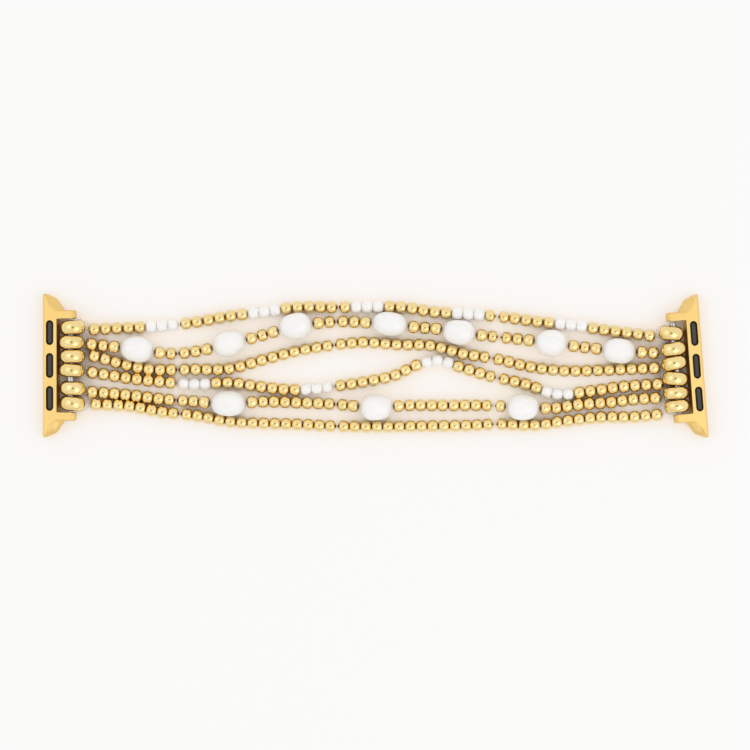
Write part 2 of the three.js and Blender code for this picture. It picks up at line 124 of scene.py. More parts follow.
# Large pearls: length and width as shares of the solid's, powers that make the form fuller than an ellipse,
# and how far one end outgrows the other, at most. Waves of uneven growth run round and along them
PEARL_GROWTH = 1.01
PEARL_WIDTH_SHARE = 0.98
PEARL_FULLNESS, PEARL_BLUNTNESS = 0.82, 0.88
PEARL_LEAN = 0.07
PEARL_WAVES, PEARL_WAVE = 4, 0.007
PEARL_WAVE_PACE = (0.5, 2.2)

# Share of half a bead's length from which painted shade darkens its ends, where beads touch
GOLD_SHADE_SHARE = 0.82
SAUCER_SHADE_SHARE = 0.86
# Share of the elastic's slope that small beads follow: they lie flatter than it
BEAD_SLOPE = 0.35
# How far each way from a point of the elastic its direction is taken, as a share of a gold bead's radius
BEAD_SHOULDER_SHARE = 0.42

# Painted shade: dark tone where beads touch and beside the pads, and the attribute that says how much of it
# shows
GOLD_PAINTED_SHADE = (0.3, 0.12, 0.015)
PAD_SHADE = (0.006, 0.005, 0.004)
SHADE_ATTRIBUTE = "tarnish"
GRAIN_CONTRAST = 2.0
# Span of a random phase in radians
PHASE_SPAN = 6.28
FULL_TURN = 2 * math.pi

log = logging.getLogger("watch_strap")


class Section(Enum):
    """Stretches of the strap between the lines where it flexes."""

    END_LEFT = "end_left"
    MID_LEFT = "mid_left"
    MID_RIGHT = "mid_right"
    END_RIGHT = "end_right"

    @property
    def body(self) -> str:
        """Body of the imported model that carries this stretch."""
        return f"strap_{self.value}"


class Bead(Enum):
    """Kinds of bead on a strand, by their letters in a stringing list."""

    GOLD = "G"
    SMALL_PEARL = "p"
    LARGE_PEARL = "P"


@dataclass(frozen=True)
class BeadForm:
    """How a kind of small bead is rounded, and how much fuller it is than its solid.

    Beads beside a flex line keep the length of the solid, and have their own extra radius.
    """

    fullness: float
    first_angle: float
    longer: float = 0.0
    wider: float = 0.0
    wider_at_flex: float = 0.0


SECTIONS = tuple(Section)
BEAD_FORMS = {
    Bead.GOLD: BeadForm(0.75, 0.27),
    Bead.SMALL_PEARL: BeadForm(0.78, 0.3, 0.035, 0.12, 0.05),
}


def smooth_step(share: float) -> float:
    """Ease from 0 to 1.

    Args:
        share: Place between the two ends, clamped to 0 and 1.

    Returns:
        The eased share.
    """
    t = min(max(share, 0.0), 1.0)
    return t * t * (3 - 2 * t)


@dataclass
class Cord:
    """Centripetal curve through points, measured along its length."""

    points: list[Vector]
    divisions: int = 200
    lengths: list[float] = field(init=False)

    def __post_init__(self) -> None:
        """Measure the curve once."""
        self.lengths = [0.0]
        last = self.point(0.0)
        for k in range(1, self.divisions + 1):
            here = self.point(k / self.divisions)
            self.lengths.append(self.lengths[-1] + (here - last).length)
            last = here

    @property
    def length(self) -> float:
        """Whole length of the curve."""
        return self.lengths[-1]

    def point(self, t: float) -> Vector:
        """Point of the curve at a parameter.

        Args:
            t: Parameter from 0 to 1, equal for each span.

        Returns:
            The point.
        """
        pts = self.points
        spot = (len(pts) - 1) * min(max(t, 0.0), 1.0)
        span = min(int(spot), len(pts) - 2)
        w = spot - span
        p1, p2 = pts[span], pts[span + 1]
        p0 = pts[span - 1] if span > 0 else p1 * 2 - p2
        p3 = pts[span + 2] if span + 2 < len(pts) else p2 * 2 - p1
        d0, d1, d2 = (max((b - a).length, 1e-6) ** 0.5 for a, b in ((p0, p1), (p1, p2), (p2, p3)))
        t1 = ((p1 - p0) / d0 - (p2 - p0) / (d0 + d1) + (p2 - p1) / d1) * d1
        t2 = ((p2 - p1) / d1 - (p3 - p1) / (d1 + d2) + (p3 - p2) / d2) * d1
        c2 = (p2 - p1) * 3 - t1 * 2 - t2
        c3 = (p1 - p2) * 2 + t1 + t2
        return p1 + t1 * w + c2 * w ** 2 + c3 * w ** 3

    def parameter(self, along: float) -> float:
        """Parameter at a distance from the start.

        Args:
            along: Distance along the curve.

        Returns:
            The parameter from 0 to 1.
        """
        low, high = 0, self.divisions
        while low < high - 1:
            middle = (low + high) // 2
            if self.lengths[middle] <= along:
                low = middle
            else:
                high = middle
        run = self.lengths[low + 1] - self.lengths[low]
        return (low + (along - self.lengths[low]) / run) / self.divisions

    def at(self, along: float) -> Vector:
        """Point at a distance from the start."""
        return self.point(self.parameter(along))

    def heading(self, along: float) -> Vector:
        """Direction of the curve at a distance from the start."""
        t = self.parameter(along)
        ahead, behind = min(t + 1e-4, 1.0), max(t - 1e-4, 0.0)
        return (self.point(ahead) - self.point(behind)).normalized()


@dataclass
class Skin:
    """Vertices and faces of one mesh, gathered form by form, in millimetres.

    Painted shade is the share of dark tone at each vertex, for the finishes that have one: shade painted
    where beads touch and beside the pads.
    """

    vertices: list[Vector] = field(default_factory=list)
    faces: list[tuple[int, ...]] = field(default_factory=list)
    tarnish: list[float] = field(default_factory=list)

    def rings(self, rings: Sequence[Sequence[Vector]], closed: bool = False, capped: bool = True) -> None:
        """Add a skin over a row of rings that all have the same number of points.

        Args:
            rings: The rings, in order.
            closed: Whether the last ring joins the first one.
            capped: Whether an open row gets a face at each end.
        """
        base, count, rows = len(self.vertices), len(rings[0]), len(rings)
        for ring in rings:
            self.vertices.extend(ring)
        for row in range(rows if closed else rows - 1):
            a, b = base + row * count, base + (row + 1) % rows * count
            for k in range(count):
                n = (k + 1) % count
                self.faces.append((a + k, a + n, b + n, b + k))
        if capped and not closed:
            self.faces.append(tuple(base + k for k in range(count)))
            self.faces.append(tuple(base + (rows - 1) * count + k for k in range(count)))

    def turned(
        self,
        profile: Sequence[tuple[float, float]],
        place: Matrix,
        segments: int,
        closed: bool = False,
        shape: Callable[[Vector], Vector] | None = None,
        shaded_from: float | None = None,
    ) -> None:
        """Add a form turned about the local Y axis.

        Args:
            profile: Radius and height of each ring.
            place: Where the form goes.
            segments: Number of points round a ring.
            closed: Whether the profile closes on itself, as round a bore.
            shape: Change to make to each local point, where the form isn't quite round.
            shaded_from: Height from which painted shade darkens the ends, where it does.
        """
        turns = [FULL_TURN * k / segments for k in range(segments)]
        rings = []
        for radius, height in profile:
            ring = [Vector((radius * math.cos(a), height, radius * math.sin(a))) for a in turns]
            rings.append([place @ (shape(point) if shape else point) for point in ring])
        self.rings(rings, closed)
        if shaded_from is not None:
            end = max(height for _, height in profile)
            for _, height in profile:
                shaded = smooth_step((abs(height) - shaded_from) / (end - shaded_from))
                self.tarnish.extend([shaded] * segments)

    def tube(self, path: Sequence[Vector], radius: float, sides: int) -> None:
        """Add a round tube along a path.

        Args:
            path: Points that the middle of the tube follows.
            radius: Radius of the tube.
            sides: Number of points round the tube.
        """
        rings = []
        side = Vector((0, 0, 1))
        for k, point in enumerate(path):
            ahead, behind = path[min(k + 1, len(path) - 1)], path[max(k - 1, 0)]
            forward = (ahead - behind).normalized()
            side = (side - forward * side.dot(forward)).normalized()
            other = forward.cross(side)
            turns = [FULL_TURN * n / sides for n in range(sides)]
            ring = [point + side * (radius * math.cos(a)) + other * (radius * math.sin(a)) for a in turns]
            rings.append(ring)
        self.rings(rings)

    def piece(
        self, name: str, finish: Material, sharp: float = 40, scale: float = MM
    ) -> Object:
        """Make the gathered skin into an object.

        Args:
            name: Name of the piece.
            finish: Its material.
            sharp: Angle in degrees from which an edge stays sharp.
            scale: Metres for each unit of the skin.

        Returns:
            The new object.
        """
        mesh = bpy.data.meshes.new(name)
        mesh.from_pydata([point * scale for point in self.vertices], [], self.faces)
        if self.tarnish:
            mesh.attributes.new(SHADE_ATTRIBUTE, "FLOAT", "POINT").data.foreach_set("value", self.tarnish)
        shell = bmesh.new()
        shell.from_mesh(mesh)
        bmesh.ops.recalc_face_normals(shell, faces=shell.faces)
        shell.to_mesh(mesh)
        shell.free()
        shade(mesh, sharp)
        mesh.materials.append(finish)
        made = bpy.data.objects.new(name, mesh)
        bpy.context.scene.collection.objects.link(made)
        return made


def shade(mesh: Mesh, sharp: float) -> None:
    """Shade a mesh smooth, but for its sharp edges.

    Args:
        mesh: The mesh.
        sharp: Angle in degrees from which an edge stays sharp.
    """
    mesh.shade_smooth()
    mesh.set_sharp_from_angle(angle=math.radians(sharp))


def settle_modifiers(piece: Object) -> None:
    """Turn the modifiers of a piece into its own mesh."""
    bpy.context.view_layer.update()
    whole = piece.evaluated_get(bpy.context.evaluated_depsgraph_get())
    mesh = bpy.data.meshes.new_from_object(whole)
    old = piece.data
    piece.modifiers.clear()
    piece.data = mesh
    bpy.data.meshes.remove(old)


def cut_out(piece: Object, cutter: Object) -> None:
    """Cut one mesh out of another and remove the cutter.

    Args:
        piece: The object that is cut.
        cutter: The shape to take out of it.
    """
    cut = piece.modifiers.new("cut", "BOOLEAN")
    cut.operation = "DIFFERENCE"
    cut.solver = "MANIFOLD"
    cut.object = cutter
    settle_modifiers(piece)
    bpy.data.objects.remove(cutter)


def even_shading(piece: Object) -> None:
    """Let wide flat faces keep their own direction where a rounded edge meets them."""
    weigh = piece.modifiers.new("weigh", "WEIGHTED_NORMAL")
    weigh.keep_sharp = True
    weigh.weight = 100
    settle_modifiers(piece)


# Finishes


def plain_material(name: str) -> tuple[Material, NodeTree, Node]:
    """Start a material.

    Args:
        name: Name of the material.

    Returns:
        The material, its node tree and its Principled shader.
    """
    material = bpy.data.materials.new(name)
    material.use_nodes = True
    tree = material.node_tree
    return material, tree, tree.nodes["Principled BSDF"]


def add_node(
    tree: NodeTree, kind: str, inputs: dict[str | int, object] | None = None, **settings: object
) -> Node:
    """Add a node to a tree.

    Args:
        tree: The tree.
        kind: Type of the node, without its ShaderNode prefix.
        inputs: Values of its inputs, by name or number.
        settings: Values of its own properties.

    Returns:
        The node.
    """
    node = tree.nodes.new(f"ShaderNode{kind}")
    for key, value in settings.items():
        setattr(node, key, value)
    for key, value in (inputs or {}).items():
        node.inputs[key].default_value = value
    return node


def wire(tree: NodeTree, *links: tuple[Node, str | int, Node, str | int]) -> None:
    """Link outputs to inputs.

    Args:
        tree: The tree of the nodes.
        links: Each node that gives a value and its output, with the node that gets it and its input.
    """
    for giver, output, getter, entry in links:
        tree.links.new(giver.outputs[output], getter.inputs[entry])


def start_group(
    name: str, inputs: dict[str, float | tuple[float, ...]], outputs: dict[str, str]
) -> tuple[NodeTree, Node, Node]:
    """Start a shader group with named sockets.

    Args:
        name: Name of the group.
        inputs: Default value of each input, a number or a colour.
        outputs: Kind of each output, Float or Color.

    Returns:
        The group, and the nodes that stand for its inputs and its outputs.
    """
    tree = bpy.data.node_groups.new(name, "ShaderNodeTree")
    for key, value in inputs.items():
        kind = "Color" if isinstance(value, tuple) else "Float"
        made = tree.interface.new_socket(name=key, in_out="INPUT", socket_type=f"NodeSocket{kind}")
        made.default_value = value
    for key, kind in outputs.items():
        tree.interface.new_socket(name=key, in_out="OUTPUT", socket_type=f"NodeSocket{kind}")
    return tree, tree.nodes.new("NodeGroupInput"), tree.nodes.new("NodeGroupOutput")


def surface_grain() -> NodeTree:
    """Make the group for fine unevenness of a surface.

    Returns:
        A group with a height for bump and a mask from 0 to 1, both at the scale of its input.
    """
    name = "surface_grain"
    if name in bpy.data.node_groups:
        return bpy.data.node_groups[name]
    tree, entry, out = start_group(
        name, {"Scale": 800.0, "Detail": 3.0, "Contrast": 1.0}, {"Height": "Float", "Mask": "Float"}
    )
    place = add_node(tree, "TexCoord")
    noise = add_node(tree, "TexNoise")
    centre = add_node(tree, "Math", {1: 0.5}, operation="SUBTRACT")
    spread = add_node(tree, "Math", operation="MULTIPLY")
    lift = add_node(tree, "Math", {1: 0.5}, operation="ADD", use_clamp=True)
    wire(
        tree,
        (place, "Object", noise, "Vector"),
        (entry, "Scale", noise, "Scale"),
        (entry, "Detail", noise, "Detail"),
        (noise, "Fac", centre, 0),
        (centre, 0, spread, 0),
        (entry, "Contrast", spread, 1),
        (spread, 0, lift, 0),
        (noise, "Fac", out, "Height"),
        (lift, 0, out, "Mask"),
    )
    return tree


def tone_drift() -> NodeTree:
    """Make the group that lets a colour drift between two tones over a surface.

    Returns:
        A group with a colour output.
    """
    name = "tone_drift"
    if name in bpy.data.node_groups:
        return bpy.data.node_groups[name]
    tones = {"Light Tone": (1, 1, 1, 1), "Deep Tone": (0, 0, 0, 1)}
    tree, entry, out = start_group(name, {**tones, "Scale": 300.0, "Contrast": 2.0}, {"Color": "Color"})
    grain = add_node(tree, "Group", {"Detail": 1.0}, node_tree=surface_grain())
    mix = add_node(tree, "Mix", data_type="RGBA")
    wire(
        tree,
        (entry, "Scale", grain, "Scale"),
        (entry, "Contrast", grain, "Contrast"),
        (grain, "Mask", mix, "Factor"),
        (entry, "Deep Tone", mix, "A"),
        (entry, "Light Tone", mix, "B"),
        (mix, "Result", out, "Color"),
    )
    return tree


@dataclass(frozen=True)
class Finish:
    """A surface finish with drifting tone, uneven gloss, fine relief and, where given, painted shade.

    Scales count the waves of the noise in a metre; the depth of the relief is in millimetres.
    """

    name: str
    light: tuple[float, float, float]
    deep: tuple[float, float, float]
    metallic: float = 0.0
    gloss: tuple[float, float] = (0.3, 0.4)
    tone_scale: float = 250.0
    tone_contrast: float = 2.5
    grain_scale: float = 900.0
    grain_detail: float = 3.0
    relief: float = 0.1
    relief_depth: float = 0.01
    tarnish: tuple[float, float, float] | None = None

    def material(self) -> Material:
        """Build the material.

        Returns:
            The finished material.
        """
        material, tree, shader = plain_material(self.name)
        tone = add_node(tree, "Group", {
            "Light Tone": (*self.light, 1),
            "Deep Tone": (*self.deep, 1),
            "Scale": self.tone_scale,
            "Contrast": self.tone_contrast,
        }, node_tree=tone_drift())
        grain = add_node(tree, "Group", {
            "Scale": self.grain_scale,
            "Detail": self.grain_detail,
            "Contrast": GRAIN_CONTRAST,
        }, node_tree=surface_grain())
        gloss = add_node(tree, "MapRange", {"To Min": self.gloss[0], "To Max": self.gloss[1]})
        bump = add_node(tree, "Bump", {"Strength": self.relief, "Distance": self.relief_depth * MM})
        base = (tone, "Color")
        # Painted shade: the attribute mixes a dark tone into the base colour where beads touch and beside the
        # pads
        if self.tarnish is not None:
            shaded = add_node(tree, "Attribute", attribute_name=SHADE_ATTRIBUTE)
            darken = add_node(tree, "Mix", {"B": (*self.tarnish, 1)}, data_type="RGBA")
            wire(tree, (shaded, "Fac", darken, "Factor"), (*base, darken, "A"))
            base = (darken, "Result")
        wire(
            tree,
            (*base, shader, "Base Color"),
            (grain, "Mask", gloss, "Value"),
            (gloss, "Result", shader, "Roughness"),
            (grain, "Height", bump, "Height"),
            (bump, "Normal", shader, "Normal"),
        )
        shader.inputs["Metallic"].default_value = self.metallic
        for key, value in self.extras().items():
            shader.inputs[key].default_value = value
        return material

    def extras(self) -> dict[str, object]:
        """Values of the other inputs of the shader that this finish sets."""
        return {}


@dataclass(frozen=True)
class PearlLustre(Finish):
    """Nacre: a pale body with light inside it, under a thin clear coat and a soft sheen."""

    depth: float = 1.0

    def extras(self) -> dict[str, object]:
        """Coat, sheen and depth of the nacre."""
        return {
            "Coat Weight": 0.35,
            "Coat Roughness": 0.12,
            "Sheen Weight": 1.0,
            "Sheen Roughness": 0.6,
            "Sheen Tint": (1.0, 0.97, 0.92, 1),
            "Subsurface Weight": 0.8,
            "Subsurface Radius": (1.0, 0.88, 0.76),
            "Subsurface Scale": self.depth * MM,
        }


@dataclass(frozen=True)
class ClearElastic(Finish):
    """Clear stretch cord."""

    def extras(self) -> dict[str, object]:
        """How the cord lets light through."""
        return {"Transmission Weight": 0.7, "IOR": 1.3, "Alpha": 0.3}


@dataclass
class Finishes:
    """Every finish of the strap, built once."""

    polished_gold: Material = field(init=False)
    rolled_gold: Material = field(init=False)
    satin_gold: Material = field(init=False)
    nacre: Material = field(init=False)
    freshwater_nacre: Material = field(init=False)
    rubber: Material = field(init=False)
    steel: Material = field(init=False)
    elastic: Material = field(init=False)

    def __post_init__(self) -> None:
        """Build the materials."""
        # The golds carry painted shade where beads touch, the pad rubber beside its pads
        self.polished_gold = Finish(
            "polished_gold", (0.985, 0.79, 0.39), (0.95, 0.73, 0.33), 1.0, (0.12, 0.2), 150, 2.5,
            1500, 2, 0.2, 0.01, GOLD_PAINTED_SHADE,
        ).material()
        self.rolled_gold = Finish(
            "rolled_gold", (0.98, 0.79, 0.38), (0.93, 0.71, 0.31), 1.0, (0.11, 0.2), 300, 2.5,
            620, 2, 0.6, 0.035, GOLD_PAINTED_SHADE,
        ).material()
        self.satin_gold = Finish(
            "satin_gold", (0.93, 0.66, 0.245), (0.89, 0.62, 0.215), 1.0, (0.36, 0.44), 120, 2,
            4200, 4, 0.7, 0.012,
        ).material()
        self.nacre = PearlLustre(
            "nacre", (0.99, 0.98, 0.965), (0.975, 0.96, 0.94), 0.0, (0.24, 0.32), 350, 2,
            500, 1, 0.15, 0.01, depth=0.7,
        ).material()
        self.freshwater_nacre = PearlLustre(
            "freshwater_nacre", (0.99, 0.98, 0.965), (0.96, 0.94, 0.92), 0.0, (0.2, 0.3), 220, 3,
            420, 3, 0.5, 0.05, depth=2.2,
        ).material()
        self.rubber = Finish(
            "pad_rubber", (0.056, 0.052, 0.05), (0.042, 0.039, 0.038), 0.0, (0.6, 0.75), 500, 2,
            3500, 4, 0.5, 0.02, PAD_SHADE,
        ).material()
        self.steel = Finish(
            "turned_steel", (0.66, 0.65, 0.63), (0.58, 0.57, 0.55), 1.0, (0.22, 0.32), 400, 2,
            3000, 3, 0.3, 0.008,
        ).material()
        self.elastic = ClearElastic(
            "clear_elastic", (0.96, 0.96, 0.95), (0.92, 0.92, 0.9), 0.0, (0.06, 0.14), 700, 2,
            900, 2, 0.2, 0.01,
        ).material()


# Bars and lugs


@dataclass(frozen=True)
class BarPlace:
    """Where a spring bar lies, and the swing of its lug."""

    side: str
    x: float
    y: float
    turn: float
    foot_edge: float = 5.735
    foot_depth: float = 1.7

    @property
    def along(self) -> Vector:
        """Direction along the bar."""
        return Vector((math.cos(math.radians(self.turn)), math.sin(math.radians(self.turn)), 0))

    @property
    def inward(self) -> Vector:
        """Direction from the bar towards the strands."""
        return Vector((math.sin(math.radians(self.turn)), -math.cos(math.radians(self.turn)), 0))

    @property
    def facing(self) -> float:
        """Sign of X towards the strands."""
        return math.copysign(1, self.inward.x)

    @property
    def centre(self) -> Vector:
        """Middle of the bar."""
        return Vector((self.x, self.y, BAR_HEIGHT))

    @property
    def rest(self) -> float:
        """Angle that the lug hangs down by, until its outer edge meets the table."""
        reach = math.hypot(self.foot_edge, self.foot_depth)
        return math.asin(BAR_HEIGHT / reach) - math.atan(self.foot_depth / self.foot_edge)

    def lug_place(self) -> Matrix:
        """Matrix from the lug to the strap.

        Returns:
            The matrix. In the lug, X runs along the bar, Y away from it towards the watch, and Z square
            to the flat face.
        """
        lean, drop = math.cos(self.rest), math.sin(self.rest)
        high = Vector((0, 0, 1))
        columns = (self.along, -self.inward * lean - high * drop, high * lean - self.inward * drop)
        place = Matrix(columns).transposed().to_4x4()
        place.translation = self.centre
        return place


@dataclass
class SaucerBead:
    """Gold rondelle that hangs on a spring bar, with one pass of elastic through its bore.

    It is fuller than its solid, and slid along its strand to where it lies in the photograph.
    """

    number: int
    bar: BarPlace
    share: float
    tilt: float
    slide: float
    half_thickness: float
    rim_radius: float = 2.86
    lift: float = 0.08
    bore_radius: float = 1.55
    mouth_width: float = 0.15
    rim_power: float = 0.92
    face_power: float = 0.94
    dent: float = 0.006
    dent_width: float = 1.2
    steps: int = 14
    segments: int = 64

    @property
    def name(self) -> str:
        """Name of the bead's node and body."""
        return f"saucer_{self.bar.side}_{self.number}"

    @property
    def centre(self) -> Vector:
        """Middle of the bead."""
        on_bar = self.bar.centre + self.bar.along * (self.share * WINDOW_HALF_LENGTH)
        return on_bar + self.bar.inward * BAR_SHIFT

    @property
    def place(self) -> Matrix:
        """Matrix from the bead, whose bore runs along Y, to the strap."""
        shift = self.bar.inward * self.slide + Vector((0, 0, self.lift))
        return Matrix.Translation(self.centre + shift) @ Matrix.Rotation(math.radians(self.tilt), 4, "Z")

    def local(self, out: float, along: float, high: float) -> Vector:
        """Place a point given from the bead towards its strand.

        Args:
            out: Distance towards the strand.
            along: Distance along the bore.
            high: Height over the middle.

        Returns:
            The point of the strap.
        """
        return self.place @ Vector((out * self.bar.facing, along, high))

    def profile(self) -> list[tuple[float, float]]:
        """Radius and height of the rings of the bead, closed round its bore."""
        mouth = self.bore_radius + self.mouth_width
        half = []
        for k in range(self.steps + 1):
            angle = math.pi / 2 * k / self.steps
            reach = mouth + (self.rim_radius - mouth) * math.cos(angle) ** self.rim_power
            half.append((reach, self.half_thickness * math.sin(angle) ** self.face_power))
        lip = [
            (self.bore_radius + 0.05, self.half_thickness - 0.03),
            (self.bore_radius, self.half_thickness - 0.14),
            (self.bore_radius, 0.4),
        ]
        upper = half + lip
        return [(r, -y) for r, y in reversed(upper)] + upper[1:]

    def build(self, finishes: Finishes) -> None:
        """Make and dress the bead.

        Args:
            finishes: Finishes of the strap.
        """
        chance = random.Random(40 + self.number + (10 if self.bar.side == "right" else 0))
        phase, lobes = chance.uniform(0, PHASE_SPAN), chance.choice((2, 3))

        def dents(point: Vector) -> Vector:
            """Make the rim a little uneven."""
            radius = math.hypot(point.x, point.z)
            rim = smooth_step((radius - self.bore_radius) / self.dent_width)
            push = 1 - self.dent * rim * (1 + math.sin(lobes * math.atan2(point.z, point.x) + phase))
            return Vector((point.x * push, point.y, point.z * push))

        skin = Skin()
        # Painted shade darkens the faces round the bore, where the saucer beads lie against each other
        shaded = SAUCER_SHADE_SHARE * self.half_thickness
        skin.turned(self.profile(), self.place, self.segments, closed=True, shape=dents, shaded_from=shaded)
        bead = skin.piece(f"{self.name}_bead", finishes.rolled_gold)
        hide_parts(self.name)
        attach(bead, self.name)


@dataclass(frozen=True)
class LugLevel:
    """One level of a lug: how its outline changes from the underside to the flat face."""

    height: float
    face: float
    edge: float
    reach: float
    inset: float = 0.0


@dataclass
class Lug:
    """Satin gold adapter that slides into the watch, with rubber pads and a spring bar."""

    bar: BarPlace
    half_length: float = 16.0
    ear_outside: float = 12.3
    ear_radius: float = 1.45
    window_depth: float = 2.8
    swing_radius: float = 3.12
    outer_edge: float = 6.05
    top: float = 1.3
    bottom: float = 1.7
    edge_radius: float = 0.45
    pad_length: float = 5.1
    pad_width: float = 1.25
    pad_pitch: float = 7.3
    pad_centre: float = 4.425
    slot_clearance: float = 0.18
    pocket_roof: float = 0.35
    pocket_half_width: float = 0.845
    pocket_overrun: float = 0.38
    strip_clearance: float = 0.2
    pad_recess: float = 0.05
    ear_hole_radius: float = 0.5
    ear_hole_depth: float = 1.35
    side_shares: tuple[tuple[float, float], ...] = (
        (0, 0.24), (0.2, 0.33), (0.45, 0.43), (0.7, 0.545), (0.84, 0.73), (0.96, 0.89),
    )
    face_shares: tuple[tuple[float, float], ...] = (
        (-0.06, 0.48), (-0.02, 0.55), (0.06, 0.61), (0.16, 0.67), (0.28, 0.73), (0.62, 0.84),
    )
    ring_insets: tuple[tuple[float, float], ...] = (
        (-1, 0.15), (-0.93, 0.05), (-0.8, 0), (-0.6, 0), (-0.4, 0), (-0.2, 0), (0, 0), (0.17, 0),
        (0.34, 0), (0.5, 0), (0.65, 0), (0.8, 0), (0.92, 0), (0.98, 0.03), (1, 0.12),
    )
    flank_steps: int = 28
    levels: tuple[LugLevel, ...] = (
        LugLevel(-1, 0.4, 0.7, 0.4),
        LugLevel(-0.6, 0, 0, 0.78),
        LugLevel(0, 0, 0, 1),
        LugLevel(0.5, 0.3, 0.02, 0.9),
        LugLevel(0.8, 0.72, 0.16, 0.66),
        LugLevel(0.92, 0.89, 0.42, 0.56),
        LugLevel(1, 1, 1, 0.5),
    )

    def level_at(self, height: float) -> LugLevel:
        """Blend the levels at a height.

        Args:
            height: Height as a share of the bottom or the top.

        Returns:
            The blended level.
        """
        for low, high in zip(self.levels, self.levels[1:]):
            if height <= high.height:
                share = (height - low.height) / (high.height - low.height)
                values = [a + (b - a) * share for a, b in zip(
                    (low.face, low.edge, low.reach), (high.face, high.edge, high.reach))]
                return LugLevel(height, *values)
        return self.levels[-1]

    def outline(self, level: LugLevel) -> list[Vector]:
        """Outline of the lug at one level.

        Args:
            level: The level.

        Returns:
            The points of the outline, in u, v and w.
        """
        reach = -self.ear_radius * level.reach
        height = level.height * (self.bottom if level.height < 0 else self.top)
        tip = self.half_length - self.ear_outside
        side = []
        for (u, v), (face_u, face_v) in zip(self.side_shares, self.face_shares):
            across = u + (face_u - u) * level.face
            deep = v + (face_v - v) * level.face
            side.append(Vector((self.ear_outside + tip * across, self.outer_edge * deep, 0)))
        back = self.edge_radius * level.edge + level.inset
        corner = Vector((self.half_length - back, self.outer_edge - back, 0))
        flank = Cord([*side, corner], divisions=60)
        fine = [flank.at(flank.length * k / self.flank_steps) for k in range(self.flank_steps + 1)]
        ear = [
            Vector((WINDOW_HALF_LENGTH, self.window_depth, 0)),
            Vector((WINDOW_HALF_LENGTH, reach, 0)),
            Vector((side[0].x, reach, 0)),
        ]
        rounded = round_corners([*ear, *fine], {0: 0.5, 1: 0.25, 2: 0.5, 3 + len(fine) - 1: 0.3})
        whole = [*rounded, *(Vector((-p.x, p.y, 0)) for p in reversed(rounded))]
        if level.inset:
            whole = inset_outline(whole, level.inset, self.ear_outside)
        return [Vector((p.x, p.y, height)) for p in whole]

    def body_skin(self) -> Skin:
        """Skin of the lug before its slots and holes are cut."""
        rings = []
        for height, inset in self.ring_insets:
            level = self.level_at(height)
            rings.append(self.outline(LugLevel(height, level.face, level.edge, level.reach, inset)))
        skin = Skin()
        skin.rings(rings)
        return skin

    def stadium(self, half_length: float, half_width: float, shift: float, height: float) -> list[Vector]:
        """Outline of a slot or pad.

        Args:
            half_length: Half its length along the bar.
            half_width: Half its width.
            shift: Place of its middle along the bar.
            height: Height of the outline.

        Returns:
            The points of the outline, in u, v and w.
        """
        points = []
        reach = half_length - half_width
        for end in (1, -1):
            for k in range(13):
                angle = math.pi * (k / 12 - 0.5) + (0 if end > 0 else math.pi)
                u = shift + end * reach + half_width * math.cos(angle)
                points.append(Vector((u, self.pad_centre + half_width * math.sin(angle), height)))
        return points

    def cutters(self, finish: Material) -> Iterable[Object]:
        """Make the shapes that are cut out of the lug, one after the other.

        Args:
            finish: Finish of the cut faces.

        Yields:
            Each cutter.
        """
        turns = [FULL_TURN * k / 96 for k in range(96)]
        circle = [Vector((0, math.cos(turn), math.sin(turn))) * self.swing_radius for turn in turns]
        end = Vector((WINDOW_HALF_LENGTH - 0.01, 0, 0))
        skin = Skin()
        skin.rings([[point - end for point in circle], [point + end for point in circle]])
        yield skin.piece("swing_cutter", finish, scale=1)
        half = self.pad_pitch + self.pad_length / 2 + self.pocket_overrun
        skin = Skin()
        levels = (-self.bottom - CUT_OVERRUN, self.pocket_roof)
        skin.rings([self.stadium(half, self.pocket_half_width, 0, level) for level in levels])
        yield skin.piece("pocket_cutter", finish, scale=1)
        for side in (-1, 0, 1):
            rings = []
            for height, grow in (
                (self.pocket_roof - 0.2, 0), (self.top - 0.1, 0), (self.top - 0.03, 0.03),
                (self.top + 0.02, 0.1), (self.top + 0.3, 0.1),
            ):
                room = self.slot_clearance + grow
                long, wide = self.pad_length / 2 + room, self.pad_width / 2 + room
                rings.append(self.stadium(long, wide, side * self.pad_pitch, height))
            skin = Skin()
            skin.rings(rings)
            yield skin.piece("slot_cutter", finish, scale=1)
        for side in (-1, 1):
            skin = Skin()
            inner, outer = WINDOW_HALF_LENGTH - CUT_OVERRUN, WINDOW_HALF_LENGTH + self.ear_hole_depth
            turn = Matrix.Rotation(-side * math.pi / 2, 4, "Z")
            profile = [(self.ear_hole_radius, inner), (self.ear_hole_radius, outer)]
            skin.turned(profile, turn, 24)
            yield skin.piece("hole_cutter", finish, scale=1)

    def build(self, finishes: Finishes) -> None:
        """Make and dress the lug, its insert, its bar and the tips of the bar.

        Args:
            finishes: Finishes of the strap.
        """
        side = self.bar.side
        body = f"lug_{side}"
        lug = self.body_skin().piece(f"lug_{side}_adapter", finishes.satin_gold, scale=1)
        for cutter in self.cutters(finishes.satin_gold):
            cut_out(lug, cutter)
        insert = self.insert(finishes.rubber)
        for piece, sharp in ((lug, 30), (insert, 50)):
            piece.data.transform(Matrix.Scale(MM, 4) @ self.bar.lug_place())
            shade(piece.data, sharp)
        even_shading(lug)
        self.settle(lug, body, body, "satin_gold")
        self.settle(insert, body, f"insert_{side}", "pad_rubber")
        self.settle(self.spring_bar(finishes.steel), body, f"bar_{side}", "steel")
        upward = math.copysign(1, self.bar.turn)
        for where, way in (("upper", upward), ("lower", -upward)):
            tip = self.bar_tip(where, way, finishes.steel)
            self.settle(tip, f"tip_{side}_{where}", f"tip_{side}_{where}", "steel")

    @staticmethod
    def settle(piece: Object, body: str, node: str, slot: str) -> None:
        """Let a piece ride on its body in place of its node.

        Args:
            piece: The piece.
            body: Body that carries it.
            node: Node that it replaces.
            slot: Not used.
        """
        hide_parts(node)
        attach(piece, body)

